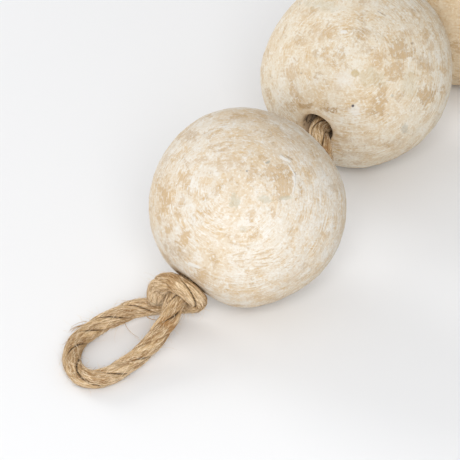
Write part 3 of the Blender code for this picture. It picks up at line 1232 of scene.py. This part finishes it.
@dataclass
class Fibres:
    """Single fibres as lines of points, with their thickness and tone."""

    points: np.ndarray
    thickness: np.ndarray
    tone: np.ndarray
    floor_gap: float = 0.08
    lowest: float = 0.15
    ball_clearance: float = 0.4
    taper: float = 0.55
    tilt: Point = (0.1, 0.3, 0.7)

    def clear_of_balls(self) -> "Fibres":
        """Leave out the fibres that dip into a ball or the floor.

        Returns:
            The fibres that stay.
        """
        keep = self.points[:, :, 2].min(axis=1) > self.lowest
        for ball, centre in zip(BALLS, CENTRES):
            apart = np.linalg.norm(self.points - np.array(centre), axis=2).min(axis=1)
            keep &= apart > ball.radius + self.ball_clearance
        return Fibres(self.points[keep], self.thickness[keep], self.tone[keep])

    def rings(self, sides: int) -> np.ndarray:
        """A ring of points round each point of each fibre.

        Args:
            sides: how many points a ring has.

        Returns:
            An array of fibres, points, sides and coordinates.
        """
        ahead = np.gradient(self.points, axis=1)
        ahead /= np.linalg.norm(ahead, axis=2)[:, :, None]
        span = self.points[:, -1] - self.points[:, 0]
        across = np.cross(span, np.roll(span, 1, axis=1) + self.tilt)
        over = np.cross(ahead, across[:, None, :])
        over /= np.linalg.norm(over, axis=2)[:, :, None]
        side = np.cross(over, ahead)
        turns = np.arange(sides) / sides * math.tau
        square = np.cross(ahead, side)
        out = side[:, :, None, :] * np.cos(turns)[:, None] + square[:, :, None, :] * np.sin(turns)[:, None]
        taper = 1.0 - self.taper * np.linspace(0.0, 1.0, self.points.shape[1])
        thick = self.thickness[:, None] * taper[None, :]
        rings = self.points[:, :, None, :] + out * thick[:, :, None, None]
        rings[..., 2] = np.maximum(rings[..., 2], self.floor_gap)
        return rings


@dataclass
class RopeFuzz:
    """The fibres that lie on the rope, the ones that stand out of it, and a few loose ends."""

    line: RopeLine
    skin: RopeSkin
    loose_ends: tuple[tuple[Point, Point, float], ...]
    yarn_lay: float
    chance: np.random.Generator
    points: int = 7
    sides: int = 3
    unrolled_radius: float = 0.1
    ball_depth: float = 1.0
    lying_count: int = 3300
    lying_length: tuple[float, float] = (3.0, 15.0)
    slope_spread: float = 0.085
    curl_spread: float = 0.24
    lift_spread: float = 0.75
    highest_lift: float = 2.4
    end_margin: float = 0.6
    lowest_reach: float = 0.9
    lying_gap: float = 0.03
    lying_tones: float = 0.6
    lying_thickness: tuple[float, float] = (0.06, 0.15)
    standing_count: int = 1700
    standing_angle: tuple[float, float] = (8.0, 62.0)
    standing_thickness: tuple[float, float] = (0.03, 0.055)
    standing_length: tuple[float, float] = (2.2, 1.5)
    shortest: float = 1.6
    sideways_spread: float = 0.5
    standing_curl: float = 0.17
    root_depth: float = 0.1
    darkest_standing: float = 0.3
    loose_bow: float = 0.12
    loose_tone: float = 0.2

    def build(self) -> Piece:
        """Lay single fibres on the rope and grow others out of it.

        Returns:
            The fibres' piece.
        """
        lots = [lot.clear_of_balls() for lot in (self.lying(), self.standing(), self.loose())]
        rings = np.concatenate([lot.rings(self.sides) for lot in lots])
        tone = np.concatenate([lot.tone for lot in lots])
        along = np.broadcast_to(np.arange(self.points, dtype=float), rings.shape[:2])
        piece = tube_piece("rope_fuzz", rings, along, self.unrolled_radius)
        add_values(piece, "tone", "FLOAT", "value", np.repeat(tone, self.points * self.sides))
        return piece

    def starts(self, count: int) -> np.ndarray:
        """Places along the rope, outside the balls, where fibres start.

        Args:
            count: how many are wanted.

        Returns:
            The length run at each start.
        """
        middles = np.array([tuple(centre) for centre in CENTRES])
        radii = np.array([ball.radius for ball in BALLS])
        apart = np.linalg.norm(self.line.points[:, None] - middles[None], axis=2) - radii[None]
        return self.chance.choice(self.line.run[apart.min(axis=1) > -self.ball_depth], count)

    def lying(self) -> Fibres:
        """Fibres that lie along the rope's surface, some with an end lifted.

        Returns:
            The fibres.
        """
        line, chance, count = self.line, self.chance, self.lying_count
        share = np.linspace(-0.5, 0.5, self.points)[None, :]
        length = chance.uniform(*self.lying_length, count)[:, None]
        run = self.starts(count)[:, None] + share * length
        run = np.clip(run, self.end_margin, line.run[-1] - self.end_margin)
        slope = math.tau / self.yarn_lay + chance.normal(0.0, self.slope_spread, count)[:, None]
        curl = chance.normal(0.0, self.curl_spread, count)[:, None] * (share * 2.0) ** 2
        angle = chance.uniform(0.0, math.tau, count)[:, None] + slope * share * length + curl
        reach, _ = self.skin.at(run, angle)
        lifted = np.clip(chance.normal(0.0, self.lift_spread, count), 0.0, self.highest_lift)[:, None]
        lifted = lifted * np.clip(share * 2.0, 0.0, 1.0) ** 2
        reach = np.maximum(reach, ROPE_RADIUS * self.lowest_reach) + self.lying_gap + lifted
        middle, first, second = (
            np.stack([np.interp(run, line.run, rows[:, axis]) for axis in range(3)], axis=2)
            for rows in (line.points, line.first, line.second)
        )
        out = first * np.cos(angle)[..., None] + second * np.sin(angle)[..., None]
        thickness = chance.uniform(*self.lying_thickness, count)
        tone = chance.beta(self.lying_tones, self.lying_tones, count)
        return Fibres(middle + out * reach[..., None], thickness, tone)

    def standing(self) -> Fibres:
        """Thin fibres that stand out of the rope and curl.

        Returns:
            The fibres.
        """
        line, chance, count = self.line, self.chance, self.standing_count
        run = self.starts(count)
        angle = chance.uniform(0.0, math.tau, count)
        reach, _ = self.skin.at(run, angle)
        index = np.rint(run / line.run[1]).astype(int)
        out = line.first[index] * np.cos(angle)[:, None] + line.second[index] * np.sin(angle)[:, None]
        ahead = line.tangent[index] * chance.choice((-1.0, 1.0), count)[:, None]
        stand = np.radians(chance.uniform(*self.standing_angle, count))[:, None]
        heading = ahead * np.cos(stand) + out * np.sin(stand)
        heading += np.cross(ahead, out) * chance.normal(0.0, self.sideways_spread, count)[:, None]
        length = (chance.gamma(*self.standing_length, count) + self.shortest)[:, None]
        curl = chance.normal(0.0, self.standing_curl, (count, 3))
        at = line.points[index] + out * (reach - self.root_depth)[:, None]
        points = []
        for _ in range(self.points):
            points.append(at)
            heading = heading / np.linalg.norm(heading, axis=1)[:, None]
            at = at + heading * length / (self.points - 1)
            heading = heading + curl
        tone = self.darkest_standing + (1.0 - self.darkest_standing) * chance.random(count)
        return Fibres(np.stack(points, axis=1), chance.uniform(*self.standing_thickness, count), tone)

    def loose(self) -> Fibres:
        """The single loose ends that the photograph shows.

        Returns:
            The fibres.
        """
        share = np.linspace(0.0, 1.0, self.points)[:, None]
        lines = []
        for start, end, _ in self.loose_ends:
            near, far = np.array(start), np.array(end)
            bow = np.cross(far - near, tuple(UP)) * self.loose_bow
            lines.append(near + (far - near) * share + bow * 4.0 * share * (1.0 - share))
        thickness = np.array([thick for _, _, thick in self.loose_ends])
        return Fibres(np.array(lines), thickness, np.full(len(lines), self.loose_tone))


@dataclass
class LaidRope:
    """The three-strand rope as one tube, and the fuzz on it."""

    stains_and_painted_light: tuple[Patch, ...] = ()
    loose_ends: tuple[tuple[Point, Point, float], ...] = ()
    route: RopeRoute = field(default_factory=RopeRoute)
    finish: Jute = field(default_factory=Jute)
    step: float = 0.9
    sides: int = 80
    yarn_lay: float = 150.0
    floor_gap: float = 0.05
    seed: int = 5

    def build(self) -> list[Piece]:
        """Model and dress the rope and its fibres.

        Returns:
            The rope's piece and the fibres' piece.
        """
        line = RopeLine.along(self.route.smoothed(), self.step)
        skin = RopeSkin(line, self.seed)
        rope = self.make_rope(line, skin)
        rope.data.materials.append(self.finish.rope_material(self.stains_and_painted_light))
        chance = np.random.default_rng(self.seed + 1)
        fuzz = RopeFuzz(line, skin, self.loose_ends, self.yarn_lay, chance).build()
        fuzz.data.materials.append(self.finish.fibre_material())
        for piece in (rope, fuzz):
            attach(piece, BODY)
        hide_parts("rope")
        return [rope, fuzz]

    def make_rope(self, line: RopeLine, skin: RopeSkin) -> Piece:
        """Sweep the uneven section along the rope's line, turning with its lay.

        Args:
            line: the rope's middle line.
            skin: its surface.

        Returns:
            The rope's piece.
        """
        around = np.arange(self.sides) / self.sides * math.tau
        angle = skin.turn[:, None] + around[None, :]
        run = np.broadcast_to(line.run[:, None], angle.shape)
        reach, valley = skin.at(run, angle)
        out = line.first[:, None] * np.cos(angle)[..., None] + line.second[:, None] * np.sin(angle)[..., None]
        rings = line.points[:, None] + out * reach[..., None]
        rings[..., 2] = np.maximum(rings[..., 2], self.floor_gap)
        untwisted = angle - math.tau * run / self.yarn_lay
        laid = np.stack([run, ROPE_RADIUS * np.cos(untwisted), ROPE_RADIUS * np.sin(untwisted)], axis=2)
        piece = tube_piece("jute_rope", rings[None], line.run[None], ROPE_RADIUS)
        add_values(piece, "valley", "FLOAT", "value", valley)
        add_values(piece, "laid", "FLOAT_VECTOR", "vector", laid)
        return piece


def tube_piece(name: str, rings: np.ndarray, along: np.ndarray, radius: float) -> Piece:
    """Make closed tubes from rings of points, with their unrolled lengths.

    Args:
        name: the piece's name.
        rings: points in millimetres, by tube, ring, side and coordinate.
        along: length run at each ring of each tube.
        radius: the tubes' radius, for the unrolled width.

    Returns:
        The piece.
    """
    tubes, count, sides = rings.shape[:3]
    side = np.arange(sides)
    after = (side + 1) % sides
    low = (np.arange(tubes)[:, None, None] * count + np.arange(count - 1)[None, :, None]) * sides
    quads = np.stack([low + side, low + after, low + sides + after, low + sides + side], axis=3)
    width = math.tau * radius / sides
    near = np.repeat(along[:, :-1, None], sides, axis=2)
    far = np.repeat(along[:, 1:, None], sides, axis=2)
    left, right = side * width + near * 0.0, (side + 1) * width + near * 0.0
    corners = np.stack([near, left, near, right, far, right, far, left], axis=3).reshape(-1, 2)
    first = np.arange(tubes)[:, None] * count * sides
    starts = (first + side[::-1]).tolist()
    ends = (first + (count - 1) * sides + side).tolist()
    mesh = bpy.data.meshes.new(name)
    mesh.from_pydata((rings.reshape(-1, 3) * MM).tolist(), [], quads.reshape(-1, 4).tolist() + starts + ends)
    caps = np.zeros((2 * tubes * sides, 2))
    caps[:, 1] = np.tile(side * width, 2 * tubes)
    layer = mesh.uv_layers.new(name="UVMap")
    layer.data.foreach_set("uv", np.concatenate([corners, caps]).astype(np.float32).ravel())
    piece = bpy.data.objects.new(name, mesh)
    bpy.context.scene.collection.objects.link(piece)
    make_active(piece)
    bpy.ops.object.shade_smooth()
    return piece


def add_values(piece: Piece, name: str, kind: str, label: str, values: np.ndarray) -> None:
    """Store a value for each point of a piece, for its material to read."""
    attribute = piece.data.attributes.new(name, kind, "POINT")
    attribute.data.foreach_set(label, values.astype(np.float32).ravel())


@dataclass(frozen=True)
class SoftLight:
    """A large round light, by where it stands from the first ball."""

    name: str
    heading: float
    elevation: float
    power: float
    diameter: float = 800.0
    distance: float = 1500.0


@dataclass
class Studio:
    """The pale floor, the soft light and the camera, set up round the first ball."""

    elevation: float = 35.7
    look_heading: float = 32.0
    distance: float = 1600.0
    focal: float = 3162.0
    image_side: float = 460.0
    sensor: float = 36.0
    clip: tuple[float, float] = (0.05, 20.0)
    target_x: float = 15.1
    target_y: float = 23.4
    target: Vector = field(default_factory=lambda: Vector((CENTRES[0].x, CENTRES[0].y, 50.0)))
    floor_side: float = 9000.0
    floor_colour: Colour = (0.856, 0.861, 0.873, 1.0)
    floor_roughness: float = 0.9
    floor_specular: float = 0.2
    sky: float = 0.55
    lights: tuple[SoftLight, ...] = (
        SoftLight("back_light", 80.0, 20.0, 9.4),
        SoftLight("left_light", 190.0, 20.0, 5.0),
        SoftLight("near_light", 215.0, 38.0, 11.8),
    )

    def build(self) -> None:
        """Set up the camera, the floor and the lights."""
        self.make_camera()
        self.make_floor()
        world = bpy.data.worlds.new("studio")
        world.use_nodes = True
        world.node_tree.nodes["Background"].inputs["Color"].default_value = (1.0, 1.0, 1.0, 1.0)
        world.node_tree.nodes["Background"].inputs["Strength"].default_value = self.sky
        bpy.context.scene.world = world
        for light in self.lights:
            self.add_light(light)

    def make_camera(self) -> None:
        """Put the camera where the photo was taken from."""
        ahead = direction(self.look_heading, -self.elevation)
        right = direction(self.look_heading - 90.0, 0.0)
        up = right.cross(ahead)
        aside = (right * self.target_x + up * self.target_y) * (self.distance / self.focal)
        place = self.target - aside - ahead * self.distance
        data = bpy.data.cameras.new("camera")
        data.sensor_width = self.sensor
        data.lens = self.sensor * self.focal / self.image_side
        data.clip_start, data.clip_end = self.clip
        camera = bpy.data.objects.new("camera", data)
        turn = Matrix((right, up, -ahead)).transposed().to_4x4()
        camera.matrix_world = Matrix.Translation(place * MM) @ turn
        bpy.context.scene.collection.objects.link(camera)
        bpy.context.scene.camera = camera

    def make_floor(self) -> None:
        """Lay a plain pale floor."""
        deselect_all()
        bpy.ops.mesh.primitive_plane_add(size=self.floor_side * MM)
        floor = bpy.context.object
        floor.name = "floor"
        material, _, shader = matt_material("pale_floor", self.floor_roughness, self.floor_specular)
        shader.inputs["Base Color"].default_value = self.floor_colour
        floor.data.materials.append(material)

    def add_light(self, light: SoftLight) -> None:
        """Hang one round area light, facing the first ball.

        Args:
            light: the light.
        """
        data = bpy.data.lights.new(light.name, "AREA")
        data.shape = "DISK"
        data.size = light.diameter * MM
        data.energy = light.power
        lamp = bpy.data.objects.new(light.name, data)
        away = direction(light.heading, light.elevation)
        lamp.location = (self.target + away * light.distance) * MM
        lamp.rotation_euler = away.to_track_quat("Z", "Y").to_euler()
        bpy.context.scene.collection.objects.link(lamp)


# Each patch's middle, its half sizes, its tone and its strength: rust, paler straw, darker jute and painted
# shade.
ROPE_STAINS_AND_PAINTED_LIGHT = (
    # Paler straw over the knot and the near leg.
    Patch((-273.8, 15.0, 20.5), (8.0, 8.0, 8.0), Tone.FADED, 0.60),
    Patch((-268.7, -6.7, 21.8), (7.0, 7.0, 8.0), Tone.FADED, 0.42),
    Patch((-272.6, 0.3, 27.8), (5.0, 5.0, 5.0), Tone.FADED, 0.35),
    Patch((-275.1, 23.4, 12.0), (7.0, 6.0, 7.0), Tone.FADED, 0.35),
    Patch((-289.8, 30.7, 10.3), (7.0, 6.0, 6.0), Tone.FADED, 0.40),
    Patch((-322.6, 5.3, 7.0), (9.0, 7.0, 7.0), Tone.FADED, 0.45),
    Patch((-271.8, 6.6, 30.0), (6.0, 3.2, 5.0), Tone.AGED, 0.75),
    # Painted shade: a soft dark patch over the loop's left bend.
    Patch((-320.0, 32.0, 7.0), (12.0, 12.0, 12.0), Tone.AGED, 0.38),
    Patch((-287.6, 1.0, 17.5), (3.2, 2.6, 3.2), Tone.RUST, 0.80),
    Patch((-287.3, -1.5, 15.8), (2.8, 2.4, 2.8), Tone.RUST, 0.80),
    Patch((-286.5, -3.2, 11.5), (4.6, 2.4, 4.2), Tone.RUST, 0.90),
    Patch((-143.0, -6.5, 39.0), (3.6, 2.6, 3.6), Tone.RUST, 0.85),
)
# Where each loose fibre starts and ends, and its thickness.
LOOSE_ENDS = (
    ((-285.3, 26.0, 4.6), (-287.6, 16.2, 1.0), 0.16),
    ((-284.6, 13.0, 13.6), (-284.0, 6.4, 13.8), 0.30),
    ((-297.0, 41.5, 5.0), (-305.2, 45.4, 4.0), 0.20),
    ((-298.0, 42.0, 6.0), (-305.6, 44.6, 5.2), 0.16),
    ((-297.5, 42.4, 4.4), (-304.6, 46.2, 4.6), 0.18),
    ((-298.4, 41.8, 5.6), (-305.9, 45.6, 6.0), 0.14),
    ((-296.0, 42.0, 6.4), (-303.6, 46.4, 5.6), 0.16),
    ((-297.2, 41.6, 5.2), (-304.0, 44.0, 4.4), 0.18),
    ((-298.6, 42.2, 5.0), (-306.2, 46.0, 4.8), 0.12),
)
# Each row holds the fields of one mark in their order: its place, half sizes, tone, strength, turn and so on;
# a few rows on ball 1 are painted highlight, shadow line and shade.
STAINS_AND_PAINTED_LIGHT = {
    "ball_1": (
        (15.4, 17.6, 6.6, 4.4, Tone.TAN, 0.72, 12.0, 1.0, 0.12, -0.1),
        (19.2, 12.4, 4.4, 6.8, Tone.TAN, 0.72, 18.0, 0.9, 0.12, -0.1),
        # Painted highlight: four thin white lines along the raised right and top edges of the tan patch; the
        # edges also stand out in relief.
        (22.8, 19.0, 0.5, 2.8, Tone.CHALK, 0.9, 32.0, 0.7, 0.3, 0.35),
        (24.3, 13.6, 0.5, 3.4, Tone.CHALK, 0.9, 4.0, 0.7, 0.3, 0.35),
        (23.7, 8.4, 0.5, 2.4, Tone.CHALK, 0.7, -12.0, 0.8, 0.3, 0.3),
        (19.8, 23.8, 3.4, 0.8, Tone.CHALK, 0.9, -25.0, 0.8, 0.3, 0.3),
        # Painted shadow: a thin brown line beside the raised top edge.
        (21.7, 24.6, 2.5, 0.4, Tone.BROWN, 0.5, -30.0, 0.8),
        (8.4, 24.3, 2.1, 1.5, Tone.TAN, 0.8, 0.0, 0.9, 0.2),
        (11.2, 22.3, 1.3, 0.6, Tone.GREY, 0.9, 20.0, 0.8, 0.3, -0.1),
        (-5.5, 2.9, 2.8, 3.4, Tone.OLIVE, 0.51, 20.0, 1.0, 0.2),
        (9.6, 4.2, 3.4, 1.7, Tone.OLIVE, 0.42, -5.0, 1.1, 0.3),
        (20.6, 4.8, 3.4, 0.9, Tone.OLIVE, 0.54, 5.0, 0.9, 0.3, -0.1),
        (3.3, -2.6, 1.9, 1.9, Tone.TAN, 0.5, 0.0, 1.4),
        (13.9, -3.4, 1.3, 3.0, Tone.TAN, 0.65, 8.0, 1.0, 0.3),
        (-4.3, -14.4, 1.5, 1.5, Tone.TAN, 0.5),
        (-0.9, -10.6, 1.3, 1.4, Tone.OLIVE, 0.3),
        (-8.5, 22.3, 6.3, 3.4, Tone.TAN, 0.55, 15.0, 1.8, 0.5),
        (-3.4, 19.8, 3.0, 1.3, Tone.TAN, 0.6, 20.0, 1.4),
        (-39.7, 5.4, 3.2, 7.6, Tone.TAN, 0.87, 4.0, 1.5, 0.35),
        (-33.4, -2.6, 2.3, 2.9, Tone.TAN, 0.72, 5.0, 1.4, 0.35),
        (-42.6, -4.2, 2.0, 4.4, Tone.TAN, 0.8, 4.0, 1.2, 0.3),
        (-38.0, -10.6, 1.8, 3.4, Tone.TAN, 0.77, 0.0, 1.2, 0.3),
        (-30.7, -16.1, 2.9, 4.6, Tone.TAN, 0.82, -20.0, 1.2, 0.3),
        (-33.8, -21.5, 6.1, 3.6, Tone.DEEP, 0.47, -30.0, 1.3),
        (-22.0, -34.2, 4.6, 4.1, Tone.TAN, 0.82, -35.0, 1.2, 0.3),
        (-30.4, 14.7, 2.3, 3.6, Tone.TAN, 0.72, -35.0, 1.2, 0.3),
        (-27.0, 35.8, 4.2, 2.8, Tone.DEEP, 0.52, 10.0, 1.4, 0.5),
        (-22.0, 23.6, 3.0, 1.7, Tone.TAN, 0.62, 15.0, 1.3),
        (-3.4, 45.9, 4.2, 1.1, Tone.DEEP, 0.35, 3.0, 1.4, 0.5),
        # Painted shade: a broad soft tan band along the ball's top.
        (3.3, 45.5, 18.6, 3.4, Tone.TAN, 0.38, 2.0, 0.8, 0.6),
        (16.0, 37.9, 4.6, 1.4, Tone.TAN, 0.5, -20.0, 1.4, 0.5),
        (25.3, 34.1, 5.5, 2.5, Tone.TAN, 0.42, -32.0, 1.4, 0.5),
        (44.7, 9.9, 2.8, 2.0, Tone.DEEP, 0.4, -10.0, 1.3),
        (32.0, 16.8, 1.6, 3.2, Tone.TAN, 0.5, -25.0, 1.3),
        (40.4, -13.7, 1.9, 2.1, Tone.TAN, 0.6, 10.0, 1.3),
        (27.4, -5.3, 1.5, 2.5, Tone.TAN, 0.45, -30.0, 1.3),
        (29.5, -29.1, 2.7, 1.3, Tone.DEEP, 0.4, 25.0, 1.3),
        (23.6, -34.6, 5.5, 2.1, Tone.TAN, 0.45, 25.0, 1.4, 0.5),
        (8.4, -44.9, 6.7, 1.5, Tone.TAN, 0.55, 4.0, 1.4, 0.5),
        (-0.1, -40.9, 8.0, 1.5, Tone.WARM, 0.6, 0.0, 1.4, 0.5),
        # A raised white flake streak, made brighter as a painted highlight.
        (-25.4, -28.9, 3.8, 0.8, Tone.CHALK, 0.9, -20.0, 1.0, 0.3, 0.2),
        (0.8, 17.9, 0.5, 0.5, Tone.INK, 0.55, 0.0, 0.6, 0.5),
        (-2.2, 18.1, 0.3, 0.3, Tone.INK, 0.3, 0.0, 0.6, 0.5),
        (4.0, 10.3, 0.3, 0.3, Tone.BROWN, 0.35, 0.0, 0.6, 0.5),
        (5.7, 7.6, 0.3, 0.3, Tone.BROWN, 0.3, 0.0, 0.6, 0.5),
        (11.6, -26.5, 19.0, 5.6, Tone.TAN, 0.8, 6.0, 1.0, 0.4, -0.1, True),
        (-38.0, 5.0, 4.0, 14.0, Tone.TAN, 0.7, 90.0, 1.0, 0.4, -0.1, True),
    ),
    "ball_2": (
        (2.2, 20.3, 4.3, 3.8, Tone.DEEP, 0.45, 10.0, 1.3, 0.3, -0.1),
        (3.3, 11.8, 3.3, 2.7, Tone.DEEP, 0.4, 0.0, 1.2, 0.3),
        (-17.5, 18.8, 8.5, 3.8, Tone.TAN, 0.55, 0.0, 1.8, 0.5),
        (-29.7, 14.3, 3.8, 1.5, Tone.TAN, 0.6, 5.0, 1.4),
        (-22.0, 8.2, 1.9, 2.2, Tone.DEEP, 0.45, 0.0, 0.9, 0.3, -0.1),
        (-36.0, -1.0, 4.0, 4.0, Tone.TAN, 0.6, 0.0, 1.5, 0.5),
        (-1.4, -1.3, 2.2, 2.0, Tone.HONEY, 0.75, 0.0, 0.7, 0.25),
        (8.0, -3.5, 7.2, 4.9, Tone.SAND, 0.45, -15.0, 0.8, 0.25, 0.1),
        (27.4, -6.2, 4.9, 7.6, Tone.SAND, 0.35, 10.0, 0.9, 0.3, 0.05),
        (22.1, 11.8, 5.8, 4.9, Tone.TAN, 0.85, -10.0, 1.3, 0.2, -0.15),
        (11.6, 8.7, 4.5, 3.1, Tone.TAN, 0.6, 20.0, 1.6),
        (19.5, 0.6, 4.9, 4.0, Tone.TAN, 0.8, -20.0, 1.5, 0.25, -0.1),
        (36.8, -12.4, 4.3, 4.9, Tone.TAN, 0.85, -10.0, 1.1, 0.2, -0.15),
        (11.6, -16.0, 3.6, 7.2, Tone.TAN, 0.85, -8.0, 1.0, 0.2, -0.15),
        (8.9, -21.0, 4.9, 2.7, Tone.TAN, 0.7, 0.0, 1.2, 0.25, -0.1),
        (3.1, -14.2, 2.0, 1.6, Tone.TAN, 0.6, 0.0, 1.2, 0.3),
        (26.0, -30.2, 1.8, 2.7, Tone.GREY, 0.5, 5.0, 1.0, 0.35),
        (18.6, -12.6, 0.7, 0.8, Tone.GREY, 0.6, 0.0, 0.8),
        (-0.5, -20.5, 3.1, 2.7, Tone.CHALK, 0.7, -20.0, 1.0, 0.35, 0.15),
        (-1.9, -18.4, 0.7, 0.7, Tone.INK, 0.95, 0.0, 0.3, 0.3, -0.5),
        (-7.7, 20.2, 1.8, 0.8, Tone.CHALK, 0.9, 0.0, 1.0, 0.3, 0.2),
        (35.3, 18.5, 2.0, 4.5, Tone.TAN, 0.65, -15.0, 1.5),
        (38.6, 14.0, 1.4, 4.0, Tone.TAN, 0.6, -15.0, 1.4),
        (34.5, 5.5, 3.1, 4.0, Tone.DEEP, 0.4, -20.0, 1.6),
        (38.1, 1.9, 2.2, 2.2, Tone.TAN, 0.6, 0.0, 1.5),
        (45.5, 2.4, 1.3, 4.0, Tone.TAN, 0.6, 5.0, 1.4),
        (30.0, 31.1, 2.2, 2.2, Tone.DEEP, 0.45, -20.0, 1.3),
        (28.3, 15.2, 1.0, 0.7, Tone.BROWN, 0.5, 0.0, 0.9),
        (-29.4, -2.1, 0.5, 0.5, Tone.BROWN, 0.5, 0.0, 0.7, 0.5),
        (-5.0, -34.9, 3.6, 3.0, Tone.TAN, 0.6, 10.0, 1.5),
        (10.3, -37.6, 6.7, 2.7, Tone.TAN, 0.5, -10.0, 1.7, 0.5),
        (22.0, -37.6, 4.0, 3.6, Tone.DEEP, 0.35, 20.0, 1.5, 0.5),
        (2.2, -44.3, 9.0, 2.2, Tone.DEEP, 0.3, -3.0, 1.5, 0.6),
        (-13.5, -21.0, 4.0, 1.5, Tone.DEEP, 0.95, -8.0, 1.6, 0.4, -0.1),
        (-26.8, -19.4, 3.4, 1.4, Tone.DEEP, 0.85, 6.0, 1.6, 0.4, -0.1),
        (24.7, 20.3, 3.6, 1.8, Tone.TAN, 0.55, 25.0, 1.9),
        (12.3, 30.2, 2.2, 0.5, Tone.BROWN, 0.5, -30.0, 1.0),
        (-6.8, -4.4, 4.0, 4.0, Tone.CHALK, 0.5, 0.0, 0.9, 0.4, 0.05),
        (-27.4, 30.7, 4.0, 2.2, Tone.TAN, 0.5, 10.0, 1.5, 0.5),
        (-20.2, 34.2, 8.5, 2.7, Tone.OLIVE, 0.3, -5.0, 1.2, 0.6),
        (1.3, 36.5, 3.6, 1.8, Tone.DEEP, 0.4, 0.0, 1.5),
        (-10.4, -9.8, 2.2, 1.8, Tone.TAN, 0.4, 0.0, 1.4, 0.5),
    ),
}
# Heading and elevation from which each ball's marks, painted highlights and shade among them, were placed.
FRONTS = ((211.7, 35.3), (209.2, 32.8), (207.0, 31.4), (205.1, 29.9), (203.8, 28.6))
WASHES = (
    Whitewash(),
    Whitewash(paint=(0.715, 0.635, 0.505, 1.0), dab=(0.780, 0.742, 0.664, 1.0)),
    # Ball 3's wash is darker and more tan than the others': partly its own tone, partly painted shade.
    Whitewash(wear=1.4, paint=(0.680, 0.545, 0.370, 1.0), dab=(0.750, 0.655, 0.505, 1.0)),
    Whitewash(wear=1.2),
    Whitewash(wear=0.9),
)
FIRST_BALL_SEED = 11


def main() -> None:
    """Build the garland and its studio in order."""
    logging.basicConfig(level=logging.INFO, format="%(name)s: %(message)s")
    bpy.context.scene.view_settings.view_transform = "Standard"
    for build_group in (build_strokes, build_stain_or_painted_light, build_from_line):
        build_group()
    Studio().build()
    log.info("studio ready")
    for piece in LaidRope(ROPE_STAINS_AND_PAINTED_LIGHT, LOOSE_ENDS).build():
        log.info("%s: %d faces", piece.name, len(piece.data.polygons))
    for index, (size, centre) in enumerate(zip(BALLS, CENTRES)):
        stains_and_painted_light = tuple(StainOrPaintedLight(*row) for row in STAINS_AND_PAINTED_LIGHT.get(size.node, ()))
        ball = PaperBall(size, centre, FIRST_BALL_SEED + index, FRONTS[index], WASHES[index], stains_and_painted_light)
        piece = ball.build()
        log.info("%s: %d faces", piece.name, len(piece.data.polygons))


if __name__ == "__main__":
    main()
